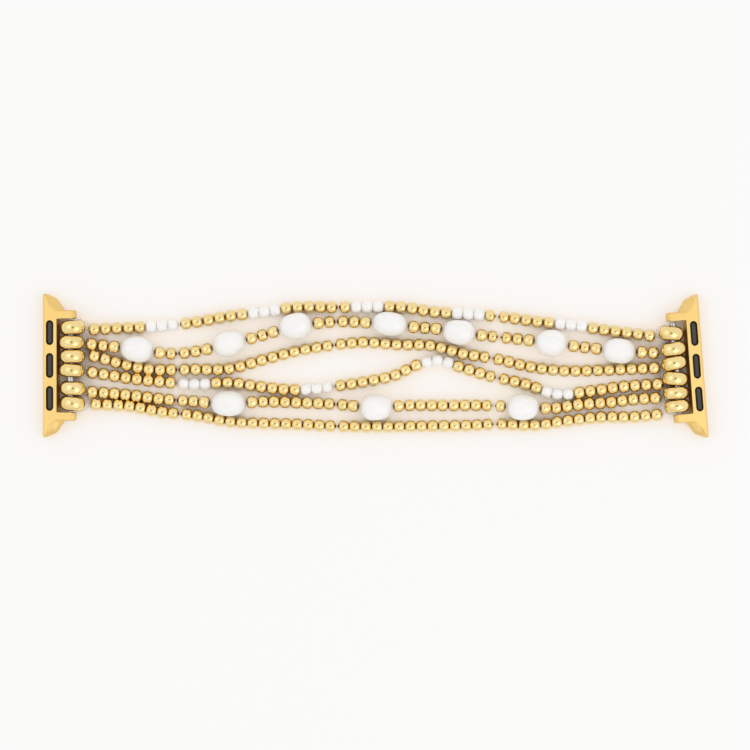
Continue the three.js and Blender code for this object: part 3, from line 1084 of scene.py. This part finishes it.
    def insert(self, finish: Material) -> Object:
        """Make the rubber insert: a strip with three raised pads.

        Args:
            finish: Its material.

        Returns:
            The insert.
        """
        skin = Skin()
        half = self.pad_pitch + self.pad_length / 2 + self.slot_clearance
        width = self.pocket_half_width - self.strip_clearance
        low, roof = self.strip_clearance - self.bottom, self.pocket_roof - self.strip_clearance
        skin.rings([
            self.stadium(half - 0.1, width - 0.1, 0, low),
            self.stadium(half, width, 0, low + 0.1),
            self.stadium(half, width, 0, roof - 0.05),
            self.stadium(half - 0.05, width - 0.05, 0, roof),
        ])
        # Painted shade: the strip inside the lug's pocket is dark all over
        skin.tarnish = [1.0] * len(skin.vertices)
        top = self.top - self.pad_recess
        # Painted shade darkens each pad towards its foot, where it stands in its slot
        for side in (-1, 0, 1):
            rings = []
            for height, shrink, shaded in (
                (roof - 0.2, 0, 1), (top - 0.3, 0, 1), (top - 0.26, 0.03, 1), (top - 0.24, 0.16, 1),
                (top - 0.14, 0.19, 0.6), (top - 0.05, 0.24, 0), (top, 0.36, 0),
            ):
                long, wide = self.pad_length / 2 - shrink, self.pad_width / 2 - shrink
                rings.append(self.stadium(long, wide, side * self.pad_pitch, height))
                skin.tarnish.extend([shaded] * len(rings[-1]))
            skin.rings(rings)
        return skin.piece(f"insert_{self.bar.side}_pads", finish, scale=1)

    def spring_bar(self, finish: Material) -> Object:
        """Make the tube of the spring bar, with its rolled ends and grooves.

        Args:
            finish: Its material.

        Returns:
            The bar.
        """
        half, radius, bore = WINDOW_HALF_LENGTH - BAR_END_GAP, 0.75, 0.5
        groove = radius - 0.06
        outer = [
            (radius, 0), (radius, half - 2.3), (groove, half - 2.22), (groove, half - 2.02),
            (radius, half - 1.94), (radius, half - 0.12), (radius - 0.08, half), (bore, half),
        ]
        inner = [(bore, half - 2.9), (0.02, half - 2.95)]
        upper = outer + inner
        profile = [(r, -y) for r, y in reversed(upper)] + upper[1:]
        skin = Skin()
        turn = Matrix.Rotation(-math.pi / 2, 4, "Z")
        skin.turned(profile, self.bar.lug_place() @ turn, 32)
        return skin.piece(f"bar_{self.bar.side}_tube", finish, TURNED_SHARP)

    def bar_tip(self, where: str, way: float, finish: Material) -> Object:
        """Make a sprung tip, with the flange of its plug and a rounded end.

        Args:
            where: Which of the two tips.
            way: Which way it points along the bar.
            finish: Its material.

        Returns:
            The tip.
        """
        half = WINDOW_HALF_LENGTH - BAR_END_GAP
        plug, stem, reach = 0.4, 0.35, half + 1.2
        profile = [
            (0.02, half - 1.9), (plug - 0.05, half - 1.9), (plug, half - 1.8), (plug, half - 0.35),
            (plug - 0.04, half - 0.3), (stem, half - 0.3),
            (stem, reach - 0.16), (stem - 0.06, reach - 0.04), (stem - 0.16, reach), (0.02, reach),
        ]
        skin = Skin()
        turn = Matrix.Rotation(-way * math.pi / 2, 4, "Z")
        skin.turned(profile, self.bar.lug_place() @ turn, 24)
        return skin.piece(f"tip_{self.bar.side}_{where}_pin", finish, TURNED_SHARP)


def round_corners(points: Sequence[Vector], radii: dict[int, float], steps: int = 5) -> list[Vector]:
    """Round some corners of an open row of points.

    Args:
        points: The row.
        radii: How far from its corner each rounding starts, by the corner's number.
        steps: Number of spans in a rounding.

    Returns:
        The row with its roundings.
    """
    rounded = []
    for k, point in enumerate(points):
        if k not in radii:
            rounded.append(point)
            continue
        before = points[k - 1] if k > 0 else Vector((0, point.y, 0))
        after = points[k + 1] if k + 1 < len(points) else Vector((0, point.y, 0))
        start, end = (
            point + (other - point).normalized() * min(radii[k], (other - point).length * 0.9)
            for other in (before, after)
        )
        for n in range(steps + 1):
            t = n / steps
            rounded.append(start * (1 - t) ** 2 + point * (2 * t * (1 - t)) + end * t ** 2)
    return rounded


def inset_outline(outline: Sequence[Vector], inset: float, reach: float) -> list[Vector]:
    """Move a closed outline inwards, less and less towards its two pointed ends.

    Args:
        outline: The points.
        inset: How far they move.
        reach: Distance along X from which they move less.

    Returns:
        The moved points.
    """
    count = len(outline)
    area = sum(outline[k].x * outline[(k + 1) % count].y - outline[(k + 1) % count].x * outline[k].y
               for k in range(count))
    moved = []
    for k, point in enumerate(outline):
        forward = (outline[(k + 1) % count] - outline[k - 1]).normalized()
        inward = Vector((-forward.y, forward.x, 0)) * math.copysign(1, area)
        fade = 1 - smooth_step((abs(point.x) - reach) / 2)
        moved.append(point + inward * (inset * fade))
    return moved


# Strands


@dataclass
class Item:
    """One bead where it sits on its strand.

    A bead is free before or after it where a flex line lies on that side. Spare is how much further back its
    tapered end starts there.
    """

    kind: Bead
    half: float
    radius: float
    number: int = 0
    along: float = 0.0
    free_before: bool = False
    free_after: bool = False
    spare: float = 0.0

    @property
    def free(self) -> bool:
        """Whether a flex line lies beside the bead."""
        return self.free_before or self.free_after


@dataclass
class Strand:
    """A strand of beads on its loop of elastic, from one saucer bead to the other."""

    number: int
    beads: str
    route: Sequence[tuple[float, float]]
    saucers: tuple[SaucerBead, SaucerBead]
    pearls: Sequence[tuple[float, float]] = ()
    items: list[Item] = field(init=False)
    cuts: list[int] = field(init=False)
    cord: Cord = field(init=False)

    def __post_init__(self) -> None:
        """Lay the strand along its route."""
        self.cord = Cord([Vector((x, y, 0)) * GOLD_LENGTH for x, y in self.route])
        self.items = []
        count = 0
        for letter in self.beads:
            kind = Bead(letter)
            if kind is Bead.LARGE_PEARL:
                long, high = (share * LARGE_PEARL_LENGTH for share in self.pearls[count])
                count += 1
                self.items.append(Item(kind, long / 2, high / 2, count))
            elif kind is Bead.GOLD:
                self.items.append(Item(kind, GOLD_LENGTH / 2, GOLD_RADIUS))
            else:
                self.items.append(Item(kind, SMALL_PEARL_RADIUS, SMALL_PEARL_RADIUS))
        self.thread([])
        self.cuts = [self.nearest_contact(line) for line in FLEX_LINES]
        self.thread(self.cuts)

    def beside_pearl(self, k: int) -> bool:
        """Whether the contact before an item touches a large pearl."""
        return Bead.LARGE_PEARL in (self.items[k - 1].kind, self.items[k].kind)

    def thread(self, cuts: Sequence[int]) -> None:
        """Place every bead along the strand, and mark those beside a flex line.

        Args:
            cuts: Items before which the strand flexes.
        """
        items = self.items
        seated = sum(self.beside_pearl(k) for k in range(1, len(items)))
        total = sum(2 * item.half for item in items) - items[0].half - items[-1].half
        spare = self.cord.length - total - seated * PEARL_SEAT_GAP - len(cuts) * FLEX_GAP
        slack = spare / (len(items) - 1 - seated - len(cuts))
        along = 0.0
        for k, item in enumerate(items):
            if k > 0:
                gap = PEARL_SEAT_GAP if self.beside_pearl(k) else FLEX_GAP if k in cuts else slack
                along += items[k - 1].half + gap + item.half
            item.along = along
        for cut, spare in zip(cuts, FLEX_SPARE):
            items[cut - 1].free_after = True
            items[cut].free_before = True
            items[cut - 1].spare = items[cut].spare = spare

    def nearest_contact(self, line: float) -> int:
        """Find where the strand flexes.

        Args:
            line: X of the line across the strap.

        Returns:
            Number of the item after the contact nearest to it.
        """
        def away(k: int) -> float:
            """Distance of a contact from the line."""
            return abs(self.cord.at((self.items[k - 1].along + self.items[k].along) / 2).x - line)

        return min((k for k in range(1, len(self.items)) if not self.beside_pearl(k)), key=away)

    def height(self, along: float) -> float:
        """Height of the elastic over the table.

        Args:
            along: Distance along the strand.

        Returns:
            The height, raised beside large pearls and saucer beads.
        """
        rise = SAUCER_RISE * (1 - smooth_step(min(along, self.cord.length - along) / SAUCER_RISE_LENGTH))
        for item in self.items:
            if item.kind is Bead.LARGE_PEARL:
                away = abs(along - item.along) - item.half
                rise = max(rise, (item.radius - GOLD_RADIUS) * (1 - smooth_step(away / PEARL_RISE_LENGTH)))
        return GOLD_RADIUS + rise

    def at(self, along: float) -> Vector:
        """Point of the elastic.

        Args:
            along: Distance along the strand, which may lie past its ends.

        Returns:
            The point.
        """
        inside = min(max(along, 0.0), self.cord.length)
        point = self.cord.at(inside) + self.cord.heading(inside) * (along - inside)
        point.z = self.height(inside)
        return point

    def direction(self, along: float) -> Vector:
        """Direction of the elastic at a distance along the strand."""
        probe = GOLD_RADIUS * BEAD_SHOULDER_SHARE
        return (self.at(along + probe) - self.at(along - probe)).normalized()

    def place(self, along: float, slope: float = 1.0) -> Matrix:
        """Matrix from a bead, whose bore runs along Y, to its place on the strand.

        Args:
            along: Distance along the strand.
            slope: Share of the slope of the elastic that the bead follows.

        Returns:
            The matrix.
        """
        forward = self.direction(along)
        forward.z *= slope
        forward.normalize()
        side = forward.cross(Vector((0, 0, 1))).normalized()
        above = side.cross(forward)
        turn = Matrix((side, forward, above)).transposed().to_4x4()
        return Matrix.Translation(self.at(along)) @ turn

    def stretch(self, section: Section) -> list[Item]:
        """Items of one section."""
        bounds = [0, *self.cuts, len(self.items)]
        k = SECTIONS.index(section)
        return self.items[bounds[k]:bounds[k + 1]]

    def build(self, finishes: Finishes) -> None:
        """Make and dress the strand.

        Args:
            finishes: Finishes of the strap.
        """
        for section in SECTIONS:
            items = self.stretch(section)
            gold = [item for item in items if item.kind is Bead.GOLD]
            small = [item for item in items if item.kind is Bead.SMALL_PEARL]
            beads = self.gold_beads(gold, section, finishes.polished_gold)
            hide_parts(f"strand_{self.number}_{section.value}")
            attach(beads, section.body)
            if small:
                pearls = self.small_pearls(small, section, finishes.nacre)
                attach(pearls, section.body)
            for item in items:
                if item.kind is Bead.LARGE_PEARL:
                    pearl = self.large_pearl(item, finishes.freshwater_nacre)
                    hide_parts(f"pearl_{self.number}_{item.number}")
                    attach(pearl, section.body)
            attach(self.elastic(items, section, finishes.elastic), section.body)
        for k, cut in enumerate(self.cuts):
            self.elastic_link(k, cut, finishes.elastic)

    @staticmethod
    def bead_profile(item: Item) -> list[tuple[float, float]]:
        """Rings of a bored round bead, with a flat at each end of its bore and a cone beside a flex line.

        Args:
            item: The bead.

        Returns:
            Radius and height of each ring, closed round the bore.
        """
        form = BEAD_FORMS[item.kind]
        half = item.half + (0 if item.free else form.longer)
        radius = item.radius + (form.wider_at_flex if item.free else form.wider)
        tip = item.half + FLEX_GAP / 2 - item.spare
        rings = []
        for k in range(BEAD_STEPS + 1):
            angle = form.first_angle + (math.pi - 2 * form.first_angle) * k / BEAD_STEPS
            rim = radius * math.sin(angle) ** form.fullness
            reach = half * abs(math.cos(angle)) ** form.fullness
            if item.free_before if 2 * k < BEAD_STEPS else item.free_after:
                reach = min(reach, tip - FLEX_TAPER * rim)
            rings.append((rim, math.copysign(reach, -math.cos(angle))))
        faces = []
        for (rim, edge), way, free in ((rings[0], -1, item.free_before), (rings[-1], 1, item.free_after)):
            middle, mouth = (rim + BEAD_BORE_RADIUS) / 2, BEAD_BORE_RADIUS
            inner = way * (tip - FLEX_TAPER * middle) if free else edge + FACE_BULGE * way
            lip = way * (tip - FLEX_TAPER * mouth) if free else edge
            faces.append([(middle, inner), (mouth, lip), (mouth, lip - MOUTH_DEPTH * way)])
        return faces[0][::-1] + rings + faces[1]

    def gold_beads(self, items: Sequence[Item], section: Section, finish: Material) -> Object:
        """Make the gold beads of a section.

        Args:
            items: The beads.
            section: The section.
            finish: Their material.

        Returns:
            One object with every bead.
        """
        chance = random.Random(100 * self.number + SECTIONS.index(section))
        skin = Skin()
        for item in items:
            loose = 0 if item.free else 1
            nod = Matrix.Rotation(math.radians(chance.uniform(-GOLD_NOD, GOLD_NOD)) * loose, 4, "X")
            sway = Matrix.Rotation(math.radians(chance.uniform(-GOLD_NOD, GOLD_NOD)) * loose, 4, "Z")
            size = 1 + chance.uniform(*GOLD_GROWTH) * loose
            profile = [(r * size, y) for r, y in self.bead_profile(item)]
            place = self.place(item.along, BEAD_SLOPE) @ nod @ sway
            # Painted shade darkens the ends of each bead, where it touches its neighbours
            shaded = GOLD_SHADE_SHARE * GOLD_LENGTH / 2
            skin.turned(profile, place, BEAD_SEGMENTS, closed=True, shaded_from=shaded)
        return skin.piece(f"gold_beads_{self.number}_{section.value}", finish)

    def small_pearls(self, items: Sequence[Item], section: Section, finish: Material) -> Object:
        """Make the small pearls of a section.

        Args:
            items: The pearls.
            section: The section.
            finish: Their material.

        Returns:
            One object with every small pearl.
        """
        chance = random.Random(700 + 10 * self.number + SECTIONS.index(section))
        skin = Skin()
        for item in items:
            lean, phase = chance.uniform(0.0, SMALL_PEARL_LEAN), chance.uniform(0, PHASE_SPAN)

            def oval(point: Vector) -> Vector:
                """Make the pearl a little out of round."""
                turn = math.atan2(point.z, point.x)
                push = 1 - lean * (0.5 + 0.5 * math.cos(2 * turn + phase))
                return Vector((point.x * push, point.y, point.z * push))

            place = self.place(item.along, BEAD_SLOPE)
            skin.turned(self.bead_profile(item), place, BEAD_SEGMENTS, closed=True, shape=oval)
        return skin.piece(f"small_pearls_{self.number}_{section.value}", finish)

    def large_pearl(self, item: Item, finish: Material) -> Object:
        """Make a large freshwater pearl, each with its own uneven form.

        Args:
            item: The pearl.
            finish: Its material.

        Returns:
            The pearl.
        """
        chance = random.Random(900 + 10 * self.number + item.number)
        lean = chance.uniform(-PEARL_LEAN, PEARL_LEAN)
        waves = []
        for _ in range(PEARL_WAVES):
            lobes, phase = chance.choice((1, 2, 3)), chance.uniform(0, PHASE_SPAN)
            waves.append((lobes, phase, chance.uniform(*PEARL_WAVE_PACE), chance.uniform(0, PHASE_SPAN)))

        def grown(point: Vector) -> Vector:
            """Give the pearl its uneven growth."""
            turn = math.atan2(point.z, point.x)
            share = point.y / item.half
            push = PEARL_WIDTH_SHARE + lean * share * (1 - share * share)
            for lobes, phase, pace, shift in waves:
                push += PEARL_WAVE * math.sin(lobes * turn + phase) * math.sin(pace * math.pi * share + shift)
            return Vector((point.x * push, point.y, point.z * push))

        mouth, bore, bevel = 0.5, 0.4, 0.12
        rings = []
        for k in range(1, PEARL_STEPS):
            angle = math.pi * k / PEARL_STEPS
            full = math.sin(angle) ** PEARL_FULLNESS
            long = math.copysign(abs(math.cos(angle)) ** PEARL_BLUNTNESS, -math.cos(angle))
            rings.append((max(item.radius * full, mouth), item.half * long * PEARL_GROWTH))
        edge = rings[-1][1]
        profile = [(bore, -edge + bevel), *rings, (bore, edge - bevel)]
        skin = Skin()
        skin.turned(profile, self.place(item.along), PEARL_SEGMENTS, closed=True, shape=grown)
        return skin.piece(f"large_pearl_{self.number}_{item.number}", finish, SMOOTH_TO)

    def elastic(self, items: Sequence[Item], section: Section, finish: Material) -> Object:
        """Make the elastic of a section, with its loop through the saucer bead at an end.

        Args:
            items: Beads that it runs through.
            section: The section.
            finish: Its material.

        Returns:
            The elastic.
        """
        skin = Skin()
        start, end = items[0].along, items[-1].along
        count = max(2, round((end - start) / ELASTIC_STEP))
        path = [self.at(start + (end - start) * k / count) for k in range(count + 1)]
        skin.tube(path, ELASTIC_RADIUS, ELASTIC_SIDES)
        if section is Section.END_LEFT:
            skin.tube(self.loop_path(self.saucers[0], self.items[0], -1), ELASTIC_RADIUS, LOOP_SIDES)
        if section is Section.END_RIGHT:
            skin.tube(self.loop_path(self.saucers[1], self.items[-1], 1), ELASTIC_RADIUS, LOOP_SIDES)
        return skin.piece(f"elastic_{self.number}_{section.value}", finish, SMOOTH_TO)

    def loop_path(self, saucer: SaucerBead, item: Item, outward: int) -> list[Vector]:
        """Path of the elastic from inside the end bead through the bore of a saucer and back.

        Args:
            saucer: The saucer bead.
            item: The end bead of the strand.
            outward: Direction along the strand towards the saucer, 1 or -1.

        Returns:
            The points of the path.
        """
        def at_bead(share: float, spread: float) -> Vector:
            """Point beside the middle of the strand at its end bead."""
            along = item.along + outward * item.half * share
            side = self.direction(along).cross(Vector((0, 0, 1))).normalized()
            if side.y < 0:
                side.negate()
            return self.at(along) + side * spread

        def leg(way: int) -> list[Vector]:
            """One leg of the loop."""
            over = []
            for out, high in LEG_SHARES:
                off = SAUCER_HALF_THICKNESS * high + ELASTIC_RADIUS + LEG_FACE_GAP * high
                over.append(saucer.local(SAUCER_RADIUS * out, way * off, way * LEG_STAGGER))
            depth = way * SAUCER_HALF_THICKNESS * LEG_DEPTH_SHARE
            inside = saucer.local(LEG_IN_BORE, depth, way * LEG_STAGGER * LEG_DEPTH_SHARE)
            return [at_bead(0, way * LEG_SPREAD_INSIDE), at_bead(1, way * LEG_SPREAD), *over, inside]

        loop = Cord([*leg(1), saucer.local(LEG_IN_BORE, 0, 0), *reversed(leg(-1))])
        return [loop.at(loop.length * k / LOOP_STEPS) for k in range(LOOP_STEPS + 1)]

    def elastic_link(self, number: int, cut: int, finish: Material) -> None:
        """Make the short length of elastic that crosses the gap where the strand flexes.

        Args:
            number: Which line of the strap, from the left.
            cut: Item after the gap.
            finish: Its material.
        """
        before, after = self.items[cut - 1], self.items[cut]
        middle = (before.along + before.half + after.along - after.half) / 2
        skin = Skin()
        first = middle - LINK_HALF_LENGTH
        path = [self.at(first + 2 * LINK_HALF_LENGTH * k / LINK_STEPS) for k in range(LINK_STEPS + 1)]
        skin.tube(path, ELASTIC_RADIUS * LINK_RADIUS_SHARE, ELASTIC_SIDES)
        link = skin.piece(f"elastic_link_{self.number}_{number + 1}", finish, SMOOTH_TO)
        start, end = self.at(middle - LINK_BEND) * MM, self.at(middle + LINK_BEND) * MM
        SECTIONS[number].body
        SECTIONS[number + 1].body
        tuple(start)
        tuple(end)
        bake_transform(link)


# The strap


@dataclass
class Strap:
    """The whole strap: two lugs, twelve saucer beads and six strands."""

    left: BarPlace = BarPlace("left", -67.745, -0.24, 90)
    right: BarPlace = BarPlace("right", 66.745, -0.75, -85.6)

    @staticmethod
    def room_for(number: int, column: int) -> float:
        """Find how thick a saucer bead can be between its neighbours.

        Args:
            number: Number of the strand.
            column: Column of the stringing list that places the saucer beads of this side.

        Returns:
            Half its thickness.
        """
        shares = [row[column][0] for row in STRINGING]
        pitches = [
            abs(shares[number - 1] - shares[other]) * WINDOW_HALF_LENGTH
            for other in (number - 2, number) if 0 <= other < len(shares)
        ]
        return min(SAUCER_MAX_HALF_THICKNESS, min(pitches) / 2 - SAUCER_FACE_GAP)

    def strands(self) -> list[Strand]:
        """The strands from the top of the strap to the bottom."""
        made = []
        for number, (beads, pearls, route, left, right) in enumerate(STRINGING, 1):
            saucers = (
                SaucerBead(number, self.left, *left, self.room_for(number, 3)),
                SaucerBead(number, self.right, *right, self.room_for(number, 4)),
            )
            made.append(Strand(number, beads, route, saucers, pearls))
        return made

    def build(self, finishes: Finishes) -> None:
        """Make and dress every piece.

        Args:
            finishes: Finishes of the strap.
        """
        for bar in (self.left, self.right):
            Lug(bar).build(finishes)
            log.info("lug %s", bar.side)
        for strand in self.strands():
            strand.build(finishes)
            for saucer in strand.saucers:
                saucer.build(finishes)
            log.info("strand %d: %d beads, cuts %s", strand.number, len(strand.items), strand.cuts)


# Beads, length and height of the large pearls as shares of their usual length, route in bead lengths,
# and the left and right saucer beads as share of the half window, tilt and slide
STRINGING = (
    (
        "GGGGG" + "pppGGGGGG" * 5,
        (),
        ((-25.00, 3.12), (-22.00, 3.24), (-18.92, 3.40), (-15.92, 3.76), (-13.00, 4.28), (-10.04, 4.64),
         (-6.96, 5.08), (-3.88, 5.08), (-0.84, 5.13), (2.40, 5.07), (5.36, 4.64), (8.24, 4.48),
         (11.36, 4.20), (14.36, 3.80), (17.28, 3.52), (20.40, 3.04), (24.36, 2.56)),
        (0.812, 5, 0.2), (-0.740, -4.6, 0.15),
    ),
    (
        "GGGPGGGGGP" * 3 + "GGGPGG",
        ((1.000, 0.829), (1.000, 0.843), (1.000, 0.857), (1.071, 0.771), (1.000, 0.800),
         (0.971, 0.871), (1.000, 0.814)),
        ((-25.24, 1.80), (-23.20, 1.57), (-21.16, 1.34), (-18.12, 0.96), (-15.12, 1.32), (-13.12, 1.84),
         (-11.00, 2.32), (-9.04, 2.88), (-7.00, 3.40), (-4.88, 3.68), (-2.88, 3.80), (-0.88, 3.72),
         (1.24, 3.60), (3.44, 3.32), (5.40, 3.16), (7.48, 2.84), (9.60, 2.56), (13.44, 2.16),
         (15.56, 1.88), (19.52, 1.40), (21.56, 1.20), (24.68, 1.04)),
        (0.495, 0, -0.06), (-0.404, 10, -0.1),
    ),
    (
        "G" * 51,
        (),
        ((-25.00, 0.72), (-22.04, -0.04), (-20.08, -0.41), (-16.04, -0.44), (-13.00, -0.36), (-10.04, 0.40),
         (-7.08, 1.16), (-4.16, 1.64), (-1.08, 1.96), (1.92, 1.76), (4.96, 1.68), (7.88, 0.96),
         (10.80, 0.48), (13.76, -0.20), (16.76, -0.56), (19.72, -0.52), (22.72, -0.40), (24.76, -0.32)),
        (0.194, 0, 0.1), (-0.101, 12, 0.0),
    ),
    (
        "GGGGGGGGppp" * 4 + "GGGGGGGG",
        (),
        ((-25.16, -0.72), (-22.16, -1.20), (-19.16, -1.54), (-16.12, -1.76), (-13.08, -1.64), (-10.08, -2.00),
         (-7.08, -2.24), (-4.16, -2.00), (-1.08, -1.56), (1.76, -0.96), (3.64, -0.08), (5.60, 0.32),
         (7.48, -0.24), (10.28, -1.08), (13.20, -1.72), (16.04, -2.60), (19.12, -2.36), (22.08, -1.96),
         (25.08, -1.76)),
        (-0.104, -5, -0.05), (0.231, -4.6, 0.0),
    ),
    (
        "G" + "GGGGGGGGGGP" * 3 + "G" * 11,
        ((1.057, 0.814), (0.986, 0.857), (0.986, 0.843)),
        ((-25.16, -2.44), (-22.12, -2.69), (-19.16, -3.06), (-16.20, -3.28), (-13.12, -3.48), (-10.00, -3.32),
         (-7.08, -3.40), (-4.00, -3.52), (-0.04, -3.80), (2.96, -3.64), (5.92, -3.64), (9.96, -3.64),
         (13.00, -3.80), (15.96, -3.88), (17.92, -3.60), (20.88, -3.36), (22.88, -3.12), (24.88, -3.00)),
        (-0.490, -3, 0.2), (0.538, 3, 0.1),
    ),
    (
        "G" * 51,
        (),
        ((-24.84, -3.58), (-21.88, -3.73), (-18.92, -4.25), (-15.92, -4.56), (-13.00, -5.08), (-10.00, -5.24),
         (-6.92, -5.32), (-3.96, -5.48), (-0.92, -5.52), (2.08, -5.52), (5.12, -5.48), (8.08, -5.44),
         (11.00, -5.32), (14.04, -5.40), (17.00, -5.04), (19.96, -4.72), (22.96, -4.68), (25.00, -4.48)),
        (-0.812, -6, 0.12), (0.817, 6, 0.1),
    ),
)


@dataclass
class Studio:
    """Pale table, soft light and a camera straight above."""

    view_width: float = 166.67
    view_centre: tuple[float, float] = (-0.1, -2.35)
    view_depth: float = 1.5
    lens: float = 280.0
    sensor_width: float = 36.0
    floor_reach: float = 1500.0
    floor_height: float = -0.02
    floor_tone: tuple[float, float, float] = (0.965, 0.962, 0.958)
    floor_drift: float = 0.995
    floor_glow: float = 0.74
    # Painted shade on the table: a warm tone for its glow and a dark brown base colour where the strap stands
    # close over it
    shade_tone: tuple[float, float, float] = (1.0, 0.75, 0.5)
    deep_shade_tone: tuple[float, float, float] = (0.3, 0.13, 0.04)
    shade_reach: float = 9.0
    deep_shade_span: tuple[float, float] = (0.05, 0.16)
    glow_span: tuple[float, float] = (0.15, 0.45)
    sky_below: tuple[float, float, float] = (0.86, 0.84, 0.82)
    sky_above: tuple[float, float, float] = (0.3, 0.3, 0.3)
    sky_stops: tuple[tuple[float, float], ...] = ((0.25, 0.9), (0.6, 0.92), (0.965, 0.92), (0.984, 0.5))
    sky_warmth: tuple[float, float, float] = (1.0, 0.99, 0.98)
    sky_lean: float = 0.28
    low_span: tuple[float, float] = (-0.2, 0.1)
    low_strength: float = 0.62
    backdrop: tuple[float, float, float] = (0.95, 0.945, 0.94)

    def build(self) -> None:
        """Make the studio."""
        scene = bpy.context.scene
        scene.view_settings.view_transform = "Standard"
        self.camera()
        self.floor()
        self.sky()
        self.softbox("key_light", (210, -150, 330), 300, 0.2)
        self.softbox("side_light", (-260, 60, 330), 260, 0.08)

    def camera(self) -> None:
        """Set the camera over the strap."""
        data = bpy.data.cameras.new("camera")
        data.lens = self.lens
        data.sensor_width = self.sensor_width
        data.clip_start, data.clip_end = 0.01, 10
        distance = self.view_width * self.lens / self.sensor_width
        camera = bpy.data.objects.new("camera", data)
        camera.location = Vector((*self.view_centre, distance + self.view_depth)) * MM
        bpy.context.scene.collection.objects.link(camera)
        bpy.context.scene.camera = camera

    def floor(self) -> None:
        """Make the table top.

        It glows a little to the camera, like paper that is lit right up to the edges of the view. Where
        the strap stands close over it, the glow fades into a warm painted shade, and in the deepest places a
        painted dark brown shade darkens its base colour.
        """
        skin = Skin()
        reach = self.floor_reach
        for x, y in ((-1, -1), (1, -1), (1, 1), (-1, 1)):
            skin.vertices.append(Vector((x * reach, y * reach, self.floor_height)))
        skin.faces = [(0, 1, 2, 3)]
        material, tree, shader = plain_material("table_paper")
        shader.inputs["Roughness"].default_value = 0.8
        shader.inputs["Specular IOR Level"].default_value = 0.1
        tone = add_node(tree, "Group", {
            "Light Tone": (*self.floor_tone, 1),
            "Deep Tone": (*(self.floor_drift * value for value in self.floor_tone), 1),
            "Scale": 12,
        }, node_tree=tone_drift())
        # Painted shade: the nearer the strap stands over the table, the warmer its glow and, deepest, the
        # browner its base colour
        open_sky = add_node(tree, "AmbientOcclusion", {"Distance": self.shade_reach * MM}, samples=8)
        depth = add_node(tree, "MapRange", {"From Min": self.deep_shade_span[0], "From Max": self.deep_shade_span[1]})
        darken = add_node(tree, "Mix", {"A": (*self.deep_shade_tone, 1)}, data_type="RGBA")
        tint = add_node(
            tree, "Mix", {"A": (*self.shade_tone, 1), "B": (*self.floor_tone, 1)}, data_type="RGBA"
        )
        share = add_node(tree, "MapRange", {
            "From Min": self.glow_span[0],
            "From Max": self.glow_span[1],
            "To Max": self.floor_glow,
        })
        glow = add_node(tree, "Emission")
        path = add_node(tree, "LightPath")
        seen = add_node(tree, "Math", operation="MULTIPLY")
        mix = add_node(tree, "MixShader")
        wire(
            tree,
            (open_sky, "AO", depth, "Value"),
            (depth, "Result", darken, "Factor"),
            (tone, "Color", darken, "B"),
            (darken, "Result", shader, "Base Color"),
            (open_sky, "AO", tint, "Factor"),
            (open_sky, "AO", share, "Value"),
            (tint, "Result", glow, "Color"),
            (path, "Is Camera Ray", seen, 0),
            (share, "Result", seen, 1),
            (seen, 0, mix, "Fac"),
            (shader, 0, mix, 1),
            (glow, 0, mix, 2),
            (mix, 0, tree.nodes["Material Output"], "Surface"),
        )
        skin.piece("table_top", material)

    def sky(self) -> None:
        """Make the light of the room: nearly even, darker straight above and weaker low on one side."""
        world = bpy.data.worlds.new("room")
        bpy.context.scene.world = world
        world.use_nodes = True
        tree = world.node_tree
        place = add_node(tree, "TexCoord")
        split = add_node(tree, "SeparateXYZ")
        ramp = add_node(tree, "ValToRGB")
        ramp.color_ramp.elements[0].color = (*self.sky_below, 1)
        ramp.color_ramp.elements[1].color = (*self.sky_above, 1)
        for share, tone in self.sky_stops:
            stop = ramp.color_ramp.elements.new(share)
            stop.color = (*(tone * share for share in self.sky_warmth), 1)
        light = tree.nodes["Background"]
        lean = add_node(tree, "Math", {1: self.sky_lean}, operation="MULTIPLY_ADD")
        dim = add_node(tree, "MapRange", {
            "From Min": self.low_span[0],
            "From Max": self.low_span[1],
            "To Min": self.low_strength,
        })
        white = add_node(tree, "Background", {"Color": (*self.backdrop, 1)})
        path = add_node(tree, "LightPath")
        mix = add_node(tree, "MixShader")
        wire(
            tree,
            (place, "Generated", split, "Vector"),
            (split, "Z", ramp, "Fac"),
            (split, "Y", lean, 0),
            (split, "Z", lean, 2),
            (lean, 0, dim, "Value"),
            (dim, "Result", light, "Strength"),
            (ramp, "Color", light, "Color"),
            (path, "Is Camera Ray", mix, "Fac"),
            (light, "Background", mix, 1),
            (white, "Background", mix, 2),
            (mix, "Shader", tree.nodes["World Output"], "Surface"),
        )

    def softbox(self, name: str, place: tuple[float, float, float], size: float, power: float) -> None:
        """Hang a square soft light, aimed at the strap.

        Args:
            name: Name of the light.
            place: Where it hangs.
            size: Length of its sides.
            power: Its power in watts.
        """
        data = bpy.data.lights.new(name, "AREA")
        data.shape = "SQUARE"
        data.size = size * MM
        data.energy = power
        lamp = bpy.data.objects.new(name, data)
        lamp.location = Vector(place) * MM
        lamp.rotation_euler = (-Vector(place)).to_track_quat("-Z", "Y").to_euler()
        bpy.context.scene.collection.objects.link(lamp)


def main() -> None:
    """Build the strap and its studio."""
    logging.basicConfig(level=logging.INFO, format="%(name)s: %(message)s", force=True)
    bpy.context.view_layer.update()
    Studio().build()
    Strap().build(Finishes())


if __name__ == "__main__":
    main()
